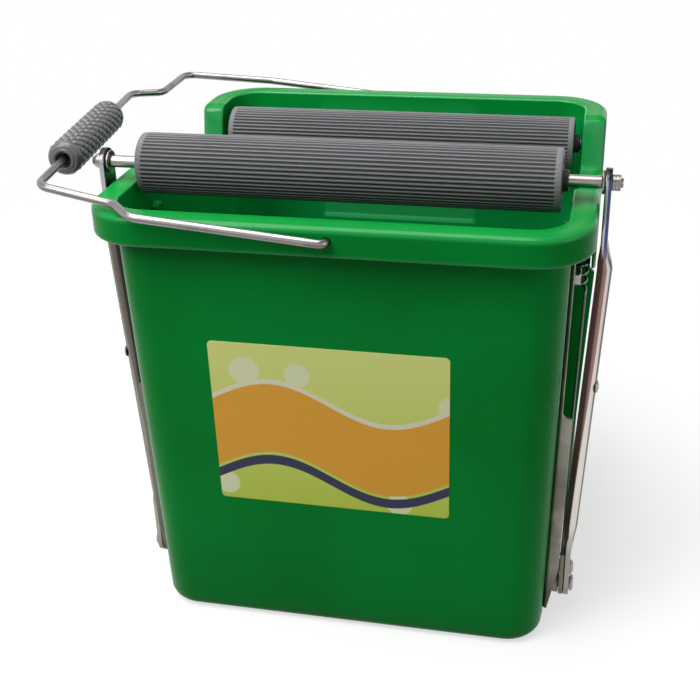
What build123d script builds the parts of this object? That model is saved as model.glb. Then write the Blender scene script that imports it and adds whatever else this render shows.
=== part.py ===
import os
from math import atan2, cos, hypot, radians, sin, sqrt, tan

from build123d import *

# Millimetres, +Z up, origin at the centre of the base on the floor, front at -Y

# Bucket shell
rim_width = 300.0
rim_depth = 298.0
bucket_height = 298.0
rim_corner = 37.0
rim_round = 4.0
lip_width = 16.0
lip_thickness = 3.0
skirt_height = 18.0
skirt_wall = 2.6
wall = 3.0
side_draft = 6.0
end_draft = 8.0
base_corner = 24.0
base_round = 9.0
floor_thickness = 4.0

# Dip in the rim over each arm's travel, from behind the arm to the rear axle
dip_behind_arm = 22.0
dip_before_axle = 8.0
dip_depth = 38.0
dip_slope = 0.22
dip_round = 7.0

# Stop rib on each side wall
rib_behind = 40.0
rib_thickness = 4.0
rib_short = 1.3
stop_gap = 0.4

# Wringer linkage
pivot_y = -82.0
pivot_z = 22.0
pivot_diameter = 8.0
pivot_cap_wall = 1.6
pivot_cap_length = 2.4
tunnel_gap = 4.0
sleeve_wall = 3.5
sleeve_length = 6.8
roller_rise = 11.0
arm_rod_diameter = 9.0
arm_flat_width = 17.0
arm_flat_thickness = 4.0
arm_head_gap = 2.0
arm_rod_gap = 1.0
arm_rod_bow = 2.5
arm_rod_oval = 0.01
arm_foot_length = 28.0
arm_foot_taper = 22.0
arm_head_length = 35.0
arm_head_taper = 18.0
arm_rivet_rise = 154.0
arm_rivet_diameter = 4.0
arm_rivet_head = 9.0
arm_spot_depth = 0.7

# Pedal frame
bar_thickness = 3.0
bar_height = 16.0
frame_angle = 30.0
frame_clear = 7.2
frame_bend = 16.0
tread_width = 124.0
tread_depth = 62.0
tread_sheet = 3.0
rivet_diameter = 6.0
rivet_head_diameter = 10.0
rivet_head_height = 2.2
rivet_rise = 13.0
tread_rivet_x = 40.0

# Rollers
roller_diameter = 37.6
roller_inset = 6.0
roller_wall = 4.0
flute_count = 44
flute_radius = 1.0
flute_depth = 0.55
cap_depth = 12.0
hub_diameter = 19.0
hub_length = 3.5
axle_diameter = 7.5
thread_diameter = 6.0
rear_y = 98.0
rear_drop = 22.0

# Fasteners
washer_diameter = 14.0
washer_thickness = 1.6
axle_nut_diameter = 9.6
nut_flats = 10.0
nut_height = 5.0
nut_end = 1.2
thread_over = 1.4
bolt_head_height = 4.0

# Side plates
plate_sheet = 2.0
plate_ahead = 18.0
plate_behind = 8.0
plate_foot = 12.0
plate_drop = 30.0
plate_corner = 8.0
flange_deep = 8.6
flange_shallow = 2.6
flange_foot = 46.0
flange_step = 161.0
flange_round = 1.0
flange_scallop = 3.9
plate_bolt_ahead = 6.0
plate_bolt_drop = 46.0

# Return springs
spring_wire = 1.8
spring_mean = 7.2
spring_pitch = 6.0
spring_turns = 5
spring_bend = 3.0
spring_behind = 19.8
spring_hook_rise = 8.5
spring_gap = 0.4
spring_bar_gap = 0.8
stud_drop = 26.5
stud_flange = 8.0
stud_flange_thickness = 1.5
hook_hole = 4.0

# Carrying bail
bail_wire = 5.2
bail_x = 2.5
bail_drop = 8.0
bail_angle = 5.6
bail_stand_off = 1.9
bail_hook = 4.5
bail_tail = 10.0
# Bends in order: distance out past the side of the rim, distance past its front or back, radius
bail_front_bends = ((-36.5, 6.5, 14.0), (-21.0, -9.0, 14.0), (32.0, -20.0, 12.0))
bail_back_bends = ((52.5, -76.5, 12.0), (32.5, -63.5, 10.0), (33.5, -8.5, 10.0), (-34.0, 4.5, 14.0))
grip_diameter = 23.0
grip_length = 102.0
grip_round = 5.0
grip_mouth = 10.0
grip_mouth_depth = 9.0
grip_y = -32.0

# Label on the front wall
label_width = 150.0
label_height = 116.0
label_x = -4.0
label_z = 157.0
label_corner = 3.0
label_film = 0.3

# Fits
running = 0.06
seat = 0.02
bolt_gap = 0.2
face_gap = 0.3

os.makedirs("parts", exist_ok=True)

# Derived sizes
mouth_width = rim_width - 2 * (lip_width - wall)
mouth_depth = rim_depth - 2 * (lip_width - wall)
mouth_corner = rim_corner - (lip_width - wall)
base_width = mouth_width - 2 * side_draft
base_depth = mouth_depth - 2 * end_draft
side_taper = side_draft / bucket_height
end_taper = end_draft / bucket_height
lean = atan2(side_taper, 1)
skirt_x = rim_width / 2 - skirt_wall
dip_front = pivot_y + dip_behind_arm
dip_back = rear_y - dip_before_axle
roller_y = pivot_y
roller_z = bucket_height + roller_rise
roller_length = mouth_width - 2 * (wall + roller_inset)
rear_z = bucket_height - rear_drop
axle_radius = axle_diameter / 2
thread_radius = thread_diameter / 2
tunnel_radius = pivot_diameter / 2 + tunnel_gap
sleeve_diameter = pivot_diameter + 2 * sleeve_wall
pivot_cap_diameter = pivot_diameter + 2 * pivot_cap_wall
sleeve_top = pivot_z + sleeve_diameter / 2
sleeve_start = base_width / 2 + side_taper * sleeve_top + (plate_sheet + 2 * seat) / cos(lean)
bar_x = sleeve_start + sleeve_length + face_gap
arm_foot_x = bar_x + bar_thickness
arm_foot_out = arm_foot_x + arm_flat_thickness
arm_foot_top = pivot_z + arm_foot_length
arm_rod_low = arm_foot_top + arm_foot_taper
arm_rod_low_x = arm_foot_x + arm_rod_bow
arm_head_x = rim_width / 2 + arm_head_gap
arm_head_out = arm_head_x + arm_flat_thickness
arm_head_low = roller_z - arm_head_length
arm_rod_high = arm_head_low - arm_head_taper
arm_rod_high_x = rim_width / 2 + arm_rod_gap + arm_rod_diameter / 2
arm_rivet_z = pivot_z + arm_rivet_rise
flat_radius = arm_flat_width / 2
pivot_end = arm_foot_out + face_gap + pivot_cap_length
thread_in = nut_height - nut_end
frame_tilt = radians(frame_angle)
frame_out = (rim_depth / 2 + frame_clear - pivot_y) / cos(frame_tilt) + bar_thickness / 2
rib_y = pivot_y + rib_behind
rib_reach = arm_foot_x - rib_short
plate_front = pivot_y - plate_ahead
plate_back = pivot_y + plate_behind
plate_top = bucket_height - plate_drop
plate_bolt_y = pivot_y - plate_bolt_ahead
plate_bolt_z = bucket_height - plate_bolt_drop
spring_y = pivot_y + spring_behind
spring_leg_y = spring_y - spring_bend
hook_loop = thread_radius + spring_wire / 2 + face_gap
stud_y = spring_y + spring_bend - hook_loop
stud_z = bucket_height - stud_drop
bail_radius = bail_wire / 2
bail_y = rim_depth / 2 + bail_stand_off + bail_radius
bail_z = bucket_height - bail_drop
spring_hook_z = pivot_z + (spring_leg_y - pivot_y) * tan(frame_tilt)


def wall_x(z):
    return base_width / 2 + side_taper * z


def wall_y(z):
    return base_depth / 2 + end_taper * z


def rim_line(drop):
    # Top edge of the rim seen from the side, front to back, moved down into the wall by drop
    over = sqrt(1 + dip_slope**2) * drop
    low = dip_depth + drop
    return [
        (-rim_depth, bucket_height - drop),
        (dip_front + dip_slope * drop - over, bucket_height - drop),
        (dip_front + dip_slope * low - over, bucket_height - low),
        (dip_back - dip_slope * low + over, bucket_height - low),
        (dip_back - dip_slope * drop + over, bucket_height - drop),
        (rim_depth, bucket_height - drop),
    ]


def rim_rounds(drop):
    tight = max(dip_round - drop, 0)
    return (0, tight, dip_round + drop, dip_round + drop, tight, 0)


def on_rim_edge(line):
    # True for an edge that runs along the outer top border of the rim
    mid = line @ 0.5
    from_end = min(mid.Y - dip_front, dip_back - mid.Y)
    sunk = min(max(from_end / dip_slope, 0), dip_depth) if abs(mid.X) > rim_width / 2 - 0.1 else 0
    inside = abs(mid.X) < rim_width / 2 - rim_corner and abs(mid.Y) < rim_depth / 2 - 0.1
    return abs(mid.Z - bucket_height + sunk) < dip_round / 2 and not inside


def side_plane(side, y, z, out=0.0):
    # Plane on a side wall: local x along Y (turned over on the left), local y up the wall
    at = (side * (wall_x(z) + out * cos(lean)), y, z - out * sin(lean))
    return Plane(origin=at, x_dir=(0, side, 0), z_dir=(side * cos(lean), 0, -sin(lean)))


sides = (1, -1)

# Solid outer shape of the bucket up to the middle of the lip, kept as a helper
with BuildPart() as tub:
    with BuildSketch(Plane.XY):
        RectangleRounded(base_width, base_depth, base_corner)
    with BuildSketch(Plane.XY.offset(bucket_height)):
        RectangleRounded(mouth_width, mouth_depth, mouth_corner)
    loft()
    fillet(tub.faces().sort_by(Axis.Z)[0].edges(), base_round)
    with BuildSketch(Plane.YZ):
        with BuildLine():
            FilletPolyline(
                *rim_line(lip_thickness / 2),
                (rim_depth, 2 * bucket_height),
                (-rim_depth, 2 * bucket_height),
                radius=(*rim_rounds(lip_thickness / 2), 0, 0),
                close=True,
            )
        make_face()
    extrude(amount=rim_width, both=True, mode=Mode.SUBTRACT)

# Space inside the bucket, with the raised cover of the pivot tunnel left out
with BuildPart() as cavity:
    with BuildSketch(Plane.XY.offset(floor_thickness)):
        RectangleRounded(
            2 * (wall_x(floor_thickness) - wall), 2 * (wall_y(floor_thickness) - wall), base_corner - wall
        )
    above = bucket_height + skirt_height
    with BuildSketch(Plane.XY.offset(above)):
        RectangleRounded(2 * (wall_x(above) - wall), 2 * (wall_y(above) - wall), mouth_corner - wall)
    loft()
    fillet(cavity.faces().sort_by(Axis.Z)[0].edges(), base_round - wall)
    with BuildSketch(Plane.YZ):
        with Locations((pivot_y, pivot_z)):
            Circle(tunnel_radius + wall)
        with Locations((pivot_y, pivot_z / 2)):
            Rectangle(2 * (tunnel_radius + wall), pivot_z)
    extrude(amount=rim_width / 2, both=True, mode=Mode.SUBTRACT)

# Room between wall and skirt below the lip, kept as a helper
with BuildPart() as lip_pocket:
    with BuildSketch(Plane.YZ):
        with BuildLine():
            FilletPolyline(
                *rim_line(lip_thickness),
                (rim_depth, 0),
                (-rim_depth, 0),
                radius=(*rim_rounds(lip_thickness), 0, 0),
                close=True,
            )
        make_face()
    extrude(amount=rim_width, both=True)
    with BuildSketch(Plane.XY):
        RectangleRounded(rim_width - 2 * skirt_wall, rim_depth - 2 * skirt_wall, rim_corner - skirt_wall)
    extrude(amount=2 * bucket_height, mode=Mode.INTERSECT)

# Lip with its turned-down skirt, dipping over the arms' travel on both sides
with BuildPart() as rim:
    with BuildSketch(Plane.YZ):
        with BuildLine():
            FilletPolyline(
                *rim_line(0),
                *reversed(rim_line(skirt_height)),
                radius=(*rim_rounds(0), *rim_rounds(skirt_height)),
                close=True,
            )
        make_face()
    extrude(amount=rim_width, both=True)
    with BuildSketch(Plane.XY):
        RectangleRounded(rim_width, rim_depth, rim_corner)
    extrude(amount=2 * bucket_height, mode=Mode.INTERSECT)
    fillet(rim.edges().filter_by(on_rim_edge), rim_round)
    add(lip_pocket.part, mode=Mode.SUBTRACT)
    add(cavity.part, mode=Mode.SUBTRACT)

with BuildPart() as bucket_body:
    add(tub.part)
    add(cavity.part, mode=Mode.SUBTRACT)
    # Holes through the side walls
    for y, z in ((rear_y, rear_z), (plate_bolt_y, plate_bolt_z), (stud_y, stud_z)):
        for side in sides:
            with BuildSketch(Plane.YZ.offset(side * (wall_x(z) - 2 * wall))):
                with Locations((y, z)):
                    Circle(thread_radius + bolt_gap)
            extrude(amount=side * 3 * wall, mode=Mode.SUBTRACT)
    # Pivot tunnel below the floor, open downward
    with BuildSketch(Plane.YZ):
        with Locations((pivot_y, pivot_z)):
            Circle(tunnel_radius)
        with Locations((pivot_y, pivot_z / 2)):
            Rectangle(2 * tunnel_radius, pivot_z)
    extrude(amount=rim_width / 2, both=True, mode=Mode.SUBTRACT)
    add(rim.part)
    # Stop ribs down to the upper edge of the pedal bars
    rib_foot = pivot_z + (rib_y - pivot_y) * tan(frame_tilt) + bar_height / 2 / cos(frame_tilt)
    rib_low = rib_foot + rib_thickness / 2 * tan(frame_tilt) + stop_gap
    rib_high = bucket_height - dip_depth - lip_thickness / 2
    for side in sides:
        with BuildSketch(Plane.XZ.offset(-rib_y - rib_thickness / 2)):
            with BuildLine():
                Polyline(
                    (side * (wall_x(rib_low) - wall / 2), rib_low),
                    (side * rib_reach, rib_low),
                    (side * rib_reach, rib_high),
                    (side * (wall_x(rib_high) - wall / 2), rib_high),
                    close=True,
                )
            make_face()
        extrude(amount=rib_thickness)
    # Bail holes through the front and back skirts
    for side in sides:
        with BuildSketch(Plane.XZ.offset(side * (rim_depth / 2 - 2 * skirt_wall))):
            with Locations((bail_x, bail_z)):
                Circle(bail_radius + running)
        extrude(amount=side * 3 * skirt_wall, mode=Mode.SUBTRACT)


# Rollers, their end caps, axles, washers and nuts
roller_bore = roller_diameter / 2 - roller_wall
front_shoulder = arm_head_x - washer_thickness
rear_shoulder = wall_x(rear_z - axle_radius) - wall - seat
rear_washer = wall_x(rear_z + washer_diameter / 2) + seat
front_set = (roller_y, roller_z)
rear_set = (rear_y, rear_z)

with BuildPart() as front_roller:
    with BuildSketch(Plane.YZ.offset(-roller_length / 2)):
        with Locations(front_set):
            Circle(roller_diameter / 2)
            Circle(roller_bore, mode=Mode.SUBTRACT)
            with PolarLocations(roller_diameter / 2 + flute_radius - flute_depth, flute_count):
                Circle(flute_radius, mode=Mode.SUBTRACT)
    extrude(amount=roller_length)

with BuildPart() as rear_roller:
    with BuildSketch(Plane.YZ.offset(-roller_length / 2)):
        with Locations(rear_set):
            Circle(roller_diameter / 2)
            Circle(roller_bore, mode=Mode.SUBTRACT)
            with PolarLocations(roller_diameter / 2 + flute_radius - flute_depth, flute_count):
                Circle(flute_radius, mode=Mode.SUBTRACT)
    extrude(amount=roller_length)

with BuildPart() as front_roller_caps:
    for side in sides:
        for start, reach, radius in (
            (roller_length / 2 - cap_depth, cap_depth, roller_bore - seat),
            (roller_length / 2, hub_length, hub_diameter / 2),
        ):
            with BuildSketch(Plane.YZ.offset(side * start)):
                with Locations(front_set):
                    Circle(radius)
                    Circle(axle_radius + running, mode=Mode.SUBTRACT)
            extrude(amount=side * reach)

with BuildPart() as rear_roller_caps:
    for side in sides:
        for start, reach, radius in (
            (roller_length / 2 - cap_depth, cap_depth, roller_bore - seat),
            (roller_length / 2, rear_shoulder - roller_length / 2 - 4 * face_gap, hub_diameter / 2),
        ):
            with BuildSketch(Plane.YZ.offset(side * start)):
                with Locations(rear_set):
                    Circle(radius)
                    Circle(axle_radius + running, mode=Mode.SUBTRACT)
            extrude(amount=side * reach)

with BuildPart() as front_axle:
    for reach, radius in (
        (front_shoulder, axle_radius),
        (arm_head_out + nut_height + thread_over, thread_radius),
    ):
        with BuildSketch(Plane.YZ):
            with Locations(front_set):
                Circle(radius)
        extrude(amount=reach, both=True)

with BuildPart() as rear_axle:
    for reach, radius in (
        (rear_shoulder, axle_radius),
        (rear_washer + washer_thickness + nut_height + thread_over, thread_radius),
    ):
        with BuildSketch(Plane.YZ):
            with Locations(rear_set):
                Circle(radius)
        extrude(amount=reach, both=True)

with BuildPart() as axle_washers_front:
    for side in sides:
        with BuildSketch(Plane.YZ.offset(side * front_shoulder)):
            with Locations(front_set):
                Circle(washer_diameter / 2)
                Circle(thread_radius + seat, mode=Mode.SUBTRACT)
        extrude(amount=side * washer_thickness)

with BuildPart() as axle_washers_rear:
    for side in sides:
        with BuildSketch(Plane.YZ.offset(side * rear_washer)):
            with Locations(rear_set):
                Circle(washer_diameter / 2)
                Circle(thread_radius + seat, mode=Mode.SUBTRACT)
        extrude(amount=side * washer_thickness)

with BuildPart() as axle_nuts_front:
    for side in sides:
        with BuildSketch(Plane.YZ.offset(side * arm_head_out)):
            with Locations(front_set):
                Circle(axle_nut_diameter / 2)
                Circle(thread_radius + seat, mode=Mode.SUBTRACT)
        extrude(amount=side * nut_height)

with BuildPart() as axle_nuts_rear:
    for side in sides:
        with BuildSketch(Plane.YZ.offset(side * (rear_washer + washer_thickness))):
            with Locations(rear_set):
                Circle(axle_nut_diameter / 2)
                Circle(thread_radius + seat, mode=Mode.SUBTRACT)
        extrude(amount=side * nut_height)

# Arm: round rod with a flattened foot on the pivot and a flattened head on the axle
arm_rivet_x = arm_rod_low_x + (arm_rod_high_x - arm_rod_low_x) * (arm_rivet_z - arm_rod_low) / (
    arm_rod_high - arm_rod_low
)
spot_x = arm_rivet_x + arm_rod_diameter / 2 - arm_spot_depth
rivet_z = pivot_z + rivet_rise
foot_mid = arm_foot_x + arm_flat_thickness / 2
head_mid = arm_head_x + arm_flat_thickness / 2

with BuildPart() as arm_right:
    with BuildSketch(Plane.YZ.offset(arm_foot_x)):
        with Locations((pivot_y, pivot_z)):
            Circle(flat_radius)
        with Locations((pivot_y, (pivot_z + arm_foot_top) / 2)):
            Rectangle(arm_flat_width, arm_foot_top - pivot_z)
    extrude(amount=arm_flat_thickness)
    with BuildSketch(Plane.YZ.offset(arm_head_x)):
        with Locations(front_set):
            Circle(flat_radius)
        with Locations((roller_y, (roller_z + arm_head_low) / 2)):
            Rectangle(arm_flat_width, roller_z - arm_head_low)
    extrude(amount=arm_flat_thickness)
    for low, low_x, low_flat, high, high_x, high_flat in (
        (arm_foot_top, foot_mid, True, arm_rod_low, arm_rod_low_x, False),
        (arm_rod_low, arm_rod_low_x, False, arm_rod_high, arm_rod_high_x, False),
        (arm_rod_high, arm_rod_high_x, False, arm_head_low, head_mid, True),
    ):
        for z, x, flat in ((low, low_x, low_flat), (high, high_x, high_flat)):
            with BuildSketch(Plane.XY.offset(z)):
                with Locations((x, pivot_y)):
                    if flat:
                        Ellipse(arm_flat_thickness / 2, flat_radius)
                    else:
                        Ellipse(arm_rod_diameter / 2, arm_rod_diameter / 2 + arm_rod_oval)
        loft()
    with BuildSketch(Plane.YZ.offset(spot_x)):
        with Locations((pivot_y, arm_rivet_z)):
            Circle(arm_rivet_head / 2 + 1)
    extrude(amount=arm_rod_diameter, mode=Mode.SUBTRACT)
    for y, z, x, radius in (
        (pivot_y, pivot_z, arm_foot_x, pivot_diameter / 2 + running),
        (pivot_y, rivet_z, arm_foot_x, rivet_diameter / 2 + seat),
        (pivot_y, arm_rivet_z, arm_rivet_x - arm_rod_diameter, arm_rivet_diameter / 2 + seat),
        (roller_y, roller_z, arm_head_x, thread_radius + seat),
    ):
        with BuildSketch(Plane.YZ.offset(x)):
            with Locations((y, z)):
                Circle(radius)
        extrude(amount=2 * arm_rod_diameter, mode=Mode.SUBTRACT)

with BuildPart() as arm_left:
    mirror(arm_right.part, about=Plane.YZ)

with BuildPart() as arm_rivets:
    for side in sides:
        with BuildSketch(Plane.YZ.offset(side * (arm_rivet_x - arm_rod_diameter / 2 + arm_spot_depth))):
            with Locations((pivot_y, arm_rivet_z)):
                Circle(arm_rivet_diameter / 2)
        extrude(amount=side * (arm_rod_diameter - 2 * arm_spot_depth))
        with BuildSketch(Plane.YZ.offset(side * spot_x)):
            with Locations((pivot_y, arm_rivet_z)):
                Circle(arm_rivet_head / 2)
        extrude(amount=side * rivet_head_height)
        tip = arm_rivets.faces().filter_by(Axis.X).sort_by(Axis.X)[-1 if side > 0 else 0]
        fillet(tip.edges(), rivet_head_height - 0.4)

# Pedal frame: one flat bar bent to a U on its edge, with an upright tab at each front end
frame_plane = Plane(
    origin=(0, pivot_y, pivot_z), x_dir=(1, 0, 0), z_dir=(0, -sin(frame_tilt), cos(frame_tilt))
)
frame_profile = Plane(
    origin=(0, pivot_y, pivot_z), x_dir=(0, cos(frame_tilt), sin(frame_tilt)), z_dir=(1, 0, 0)
)
frame_in = frame_out - bar_thickness
bar_out = bar_x + bar_thickness

with BuildPart() as pedal_frame:
    with BuildSketch(frame_plane):
        with BuildLine():
            FilletPolyline(
                (-bar_out, 0),
                (-bar_out, frame_out),
                (bar_out, frame_out),
                (bar_out, 0),
                (bar_x, 0),
                (bar_x, frame_in),
                (-bar_x, frame_in),
                (-bar_x, 0),
                radius=(0, frame_bend, frame_bend, 0, 0, *[frame_bend - bar_thickness] * 2, 0),
                close=True,
            )
        make_face()
    extrude(amount=bar_height / 2, both=True)
    for side in sides:
        with BuildSketch(Plane.YZ.offset(side * bar_x)):
            with Locations((pivot_y, pivot_z)):
                Circle(flat_radius)
            with Locations((pivot_y, (pivot_z + arm_foot_top) / 2)):
                Rectangle(arm_flat_width, arm_foot_top - pivot_z)
        extrude(amount=side * bar_thickness)
    for y, z, radius in (
        (pivot_y, pivot_z, pivot_diameter / 2 + running),
        (pivot_y, rivet_z, rivet_diameter / 2 + seat),
        (spring_leg_y, spring_hook_z, hook_hole / 2),
    ):
        with BuildSketch(Plane.YZ):
            with Locations((y, z)):
                Circle(radius)
        extrude(amount=rim_width, both=True, mode=Mode.SUBTRACT)
    with BuildSketch(Plane(frame_plane.origin, x_dir=(1, 0, 0), z_dir=frame_plane.y_dir)):
        with Locations((tread_rivet_x, 0), (-tread_rivet_x, 0)):
            Circle(rivet_diameter / 2 + seat)
    extrude(amount=frame_out + tread_sheet, mode=Mode.SUBTRACT)

with BuildPart() as frame_rivets:
    for side in sides:
        for start, reach, radius in (
            (bar_x - rivet_head_height, rivet_head_height, rivet_head_diameter / 2),
            (bar_x, bar_thickness + arm_flat_thickness, rivet_diameter / 2),
            (arm_foot_out, rivet_head_height, rivet_head_diameter / 2),
        ):
            with BuildSketch(Plane.YZ.offset(side * start)):
                with Locations((pivot_y, rivet_z)):
                    Circle(radius)
            extrude(amount=side * reach)

# Foot tread folded from sheet and riveted behind the cross bar
with BuildPart() as pedal_tread:
    half = bar_height / 2
    with BuildSketch(frame_profile):
        with BuildLine():
            FilletPolyline(
                (frame_out, -half),
                (frame_out + tread_sheet, -half),
                (frame_out + tread_sheet, half),
                (frame_out + tread_depth - tread_sheet, half),
                (frame_out + tread_depth - tread_sheet, -half / 2),
                (frame_out + tread_depth, -half / 2),
                (frame_out + tread_depth, half + tread_sheet),
                (frame_out, half + tread_sheet),
                radius=(0, 0, 1, 1, 0, 0, tread_sheet + 1, tread_sheet + 1),
                close=True,
            )
        make_face()
    extrude(amount=tread_width / 2, both=True)
    with BuildSketch(Plane(frame_plane.origin, x_dir=(1, 0, 0), z_dir=frame_plane.y_dir)):
        with Locations((tread_rivet_x, 0), (-tread_rivet_x, 0)):
            Circle(rivet_diameter / 2 + seat)
    extrude(amount=frame_out + 2 * tread_sheet, mode=Mode.SUBTRACT)

with BuildPart() as tread_rivets:
    for x in (tread_rivet_x, -tread_rivet_x):
        for start, reach, radius in (
            (frame_in - rivet_head_height, rivet_head_height, rivet_head_diameter / 2),
            (frame_in, bar_thickness + tread_sheet, rivet_diameter / 2),
            (frame_out + tread_sheet, rivet_head_height, rivet_head_diameter / 2),
        ):
            spot = frame_plane.origin + frame_plane.y_dir * start
            with BuildSketch(Plane(spot, x_dir=(1, 0, 0), z_dir=frame_plane.y_dir)):
                with Locations((x, 0)):
                    Circle(radius)
            extrude(amount=reach)

# Pivot rod in the tunnel, with a spacer sleeve and an end cap on each side
with BuildPart() as pivot_rod:
    with BuildSketch(Plane.YZ):
        with Locations((pivot_y, pivot_z)):
            Circle(pivot_diameter / 2)
    extrude(amount=pivot_end - pivot_cap_length / 4, both=True)

with BuildPart() as pivot_sleeves:
    for side in sides:
        with BuildSketch(Plane.YZ.offset(side * sleeve_start)):
            with Locations((pivot_y, pivot_z)):
                Circle(sleeve_diameter / 2)
                Circle(pivot_diameter / 2 + running, mode=Mode.SUBTRACT)
        extrude(amount=side * (bar_x - face_gap - sleeve_start))

with BuildPart() as pivot_caps:
    for side in sides:
        with BuildSketch(Plane.YZ.offset(side * (arm_foot_out + face_gap))):
            with Locations((pivot_y, pivot_z)):
                Circle(pivot_cap_diameter / 2)
        extrude(amount=side * pivot_cap_length)
        tip = pivot_caps.faces().filter_by(Axis.X).sort_by(Axis.X)[-1 if side > 0 else 0]
        fillet(tip.edges(), pivot_cap_length / 2)
    with BuildSketch(Plane.YZ):
        with Locations((pivot_y, pivot_z)):
            Circle(pivot_diameter / 2 + seat)
    extrude(amount=pivot_end - pivot_cap_length / 4, both=True, mode=Mode.SUBTRACT)

# Side plates: sheet angle on each side wall that carries the pivot rod
with BuildPart() as side_plate_right:
    with BuildSketch(side_plane(1, 0, 0, seat)):
        with BuildLine():
            FilletPolyline(
                (plate_front, plate_foot),
                (plate_back, plate_foot),
                (plate_back, plate_top),
                (plate_front, plate_top),
                radius=(0, plate_corner, plate_corner, 0),
                close=True,
            )
        make_face()
        with Locations((pivot_y, pivot_z)):
            Circle(pivot_diameter / 2 + bolt_gap, mode=Mode.SUBTRACT)
        with Locations((plate_bolt_y, plate_bolt_z)):
            Circle(thread_radius + bolt_gap, mode=Mode.SUBTRACT)
    extrude(amount=plate_sheet)
    flange_foot_point = side_plane(1, plate_front, 0, seat).origin
    with BuildSketch(Plane(flange_foot_point, x_dir=(cos(lean), 0, -sin(lean)), z_dir=(0, -1, 0))):
        with BuildLine():
            FilletPolyline(
                (0, plate_foot),
                (plate_sheet, plate_foot),
                (flange_deep, flange_foot),
                (flange_deep, flange_step),
                (flange_shallow, flange_step),
                (flange_shallow, plate_top),
                (0, plate_top),
                radius=(0, 0, 2 * flange_round, flange_round, flange_scallop, flange_round, 0),
                close=True,
            )
        make_face()
    extrude(amount=-plate_sheet)

with BuildPart() as side_plate_left:
    mirror(side_plate_right.part, about=Plane.YZ)

with BuildPart() as plate_bolts:
    for side in sides:
        outside = plate_sheet + 2 * seat
        with BuildSketch(side_plane(side, plate_bolt_y, plate_bolt_z, outside)):
            RegularPolygon(nut_flats / 2, 6, major_radius=False)
        extrude(amount=bolt_head_height)
        with BuildSketch(side_plane(side, plate_bolt_y, plate_bolt_z, outside)):
            Circle(thread_radius)
        extrude(amount=-(outside + wall + thread_in - face_gap))

# Spring studs, and the closed nuts inside the wall that hold studs and plate bolts
with BuildPart() as spring_studs:
    for side in sides:
        with BuildSketch(side_plane(side, stud_y, stud_z, seat)):
            Circle(stud_flange / 2)
        extrude(amount=stud_flange_thickness)
        with BuildSketch(side_plane(side, stud_y, stud_z, face_gap - wall - thread_in)):
            Circle(thread_radius)
        extrude(amount=wall + thread_in + skirt_x - wall_x(stud_z) - 2 * face_gap)

with BuildPart() as inner_nuts:
    for side in sides:
        for y, z in ((plate_bolt_y, plate_bolt_z), (stud_y, stud_z)):
            with BuildSketch(side_plane(side, y, z, -wall - seat)):
                RegularPolygon(nut_flats / 2, 6, major_radius=False)
            extrude(amount=-nut_height)
            with BuildSketch(side_plane(side, y, z, -wall - seat)):
                Circle(thread_radius + seat)
            extrude(amount=-thread_in, mode=Mode.SUBTRACT)

# Return spring: open coil, hook over the stud, long leg down to the pedal bar. Its path is drawn in
# a plane with the origin where the leg enters the bar and Z along the leg
spring_hook_x = bar_x - spring_bar_gap - spring_wire / 2
spring_high_x = skirt_x - spring_gap - spring_wire / 2
spring_lean = atan2(spring_high_x - spring_hook_x, stud_z - spring_hook_z)
spring_plane = Plane(
    origin=(spring_hook_x, spring_y, spring_hook_z),
    x_dir=(cos(spring_lean), 0, -sin(spring_lean)),
    z_dir=(sin(spring_lean), 0, cos(spring_lean)),
)
with BuildPart() as return_spring_right:
    mean = spring_mean / 2
    bulge = hypot(mean, spring_pitch / 4)
    stud_up = hypot(spring_high_x - spring_hook_x, stud_z - spring_hook_z)
    coil_high = stud_up - spring_hook_rise
    coil_low = coil_high - spring_turns * spring_pitch
    turn_in = spring_bend * (1 - sqrt(0.5))
    turn_out = spring_bend * sqrt(0.5)
    with BuildLine(spring_plane) as spring_path:
        Line((bar_out + spring_wire - spring_hook_x, -spring_bend, 0), (spring_bend, -spring_bend, 0))
        ThreePointArc(
            (spring_bend, -spring_bend, 0), (turn_in, -spring_bend, turn_in), (0, -spring_bend, spring_bend)
        )
        Line((0, -spring_bend, spring_bend), (0, -spring_bend, coil_low - spring_bend))
        ThreePointArc(
            (0, -spring_bend, coil_low - spring_bend), (0, -turn_out, coil_low - turn_in), (0, 0, coil_low)
        )
        for half in range(2 * spring_turns):
            z = coil_low + half * spring_pitch / 2
            way = 1 if half % 2 == 0 else -1
            ThreePointArc(
                (way * mean - mean, 0, z),
                (-mean, way * bulge, z + spring_pitch / 4),
                (-way * mean - mean, 0, z + spring_pitch / 2),
            )
        ThreePointArc(
            (0, 0, coil_high), (0, turn_out, coil_high + turn_in), (0, spring_bend, coil_high + spring_bend)
        )
        Line((0, spring_bend, coil_high + spring_bend), (0, spring_bend, stud_up))
        ThreePointArc(
            (0, spring_bend, stud_up),
            (0, spring_bend - hook_loop, stud_up + hook_loop),
            (0, spring_bend - 2 * hook_loop, stud_up),
        )
    with BuildSketch(Plane(origin=spring_path.line @ 0, z_dir=spring_path.line % 0)):
        Circle(spring_wire / 2)
    sweep(path=spring_path.line)

# Least gap between stretches of the spring's wire that aren't neighbours
course = spring_path.wire()
trail = [course @ (i / 800) for i in range(801)]
apart = int(4 * spring_wire / course.length * 800)
least = min((trail[i] - trail[j]).length for i in range(801) for j in range(i + apart, 801))
print(f"spring wire least gap to itself {least - spring_wire:.2f}")

with BuildPart() as return_spring_left:
    mirror(return_spring_right.part, about=Plane.YZ)

# Carrying bail: one bent wire in a plane through its pivots
bail_tilt = radians(bail_angle)
bail_plane = Plane(
    origin=(bail_x, 0, bail_z),
    x_dir=(-cos(bail_tilt), 0, sin(bail_tilt)),
    z_dir=(-sin(bail_tilt), 0, -cos(bail_tilt)),
)
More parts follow.
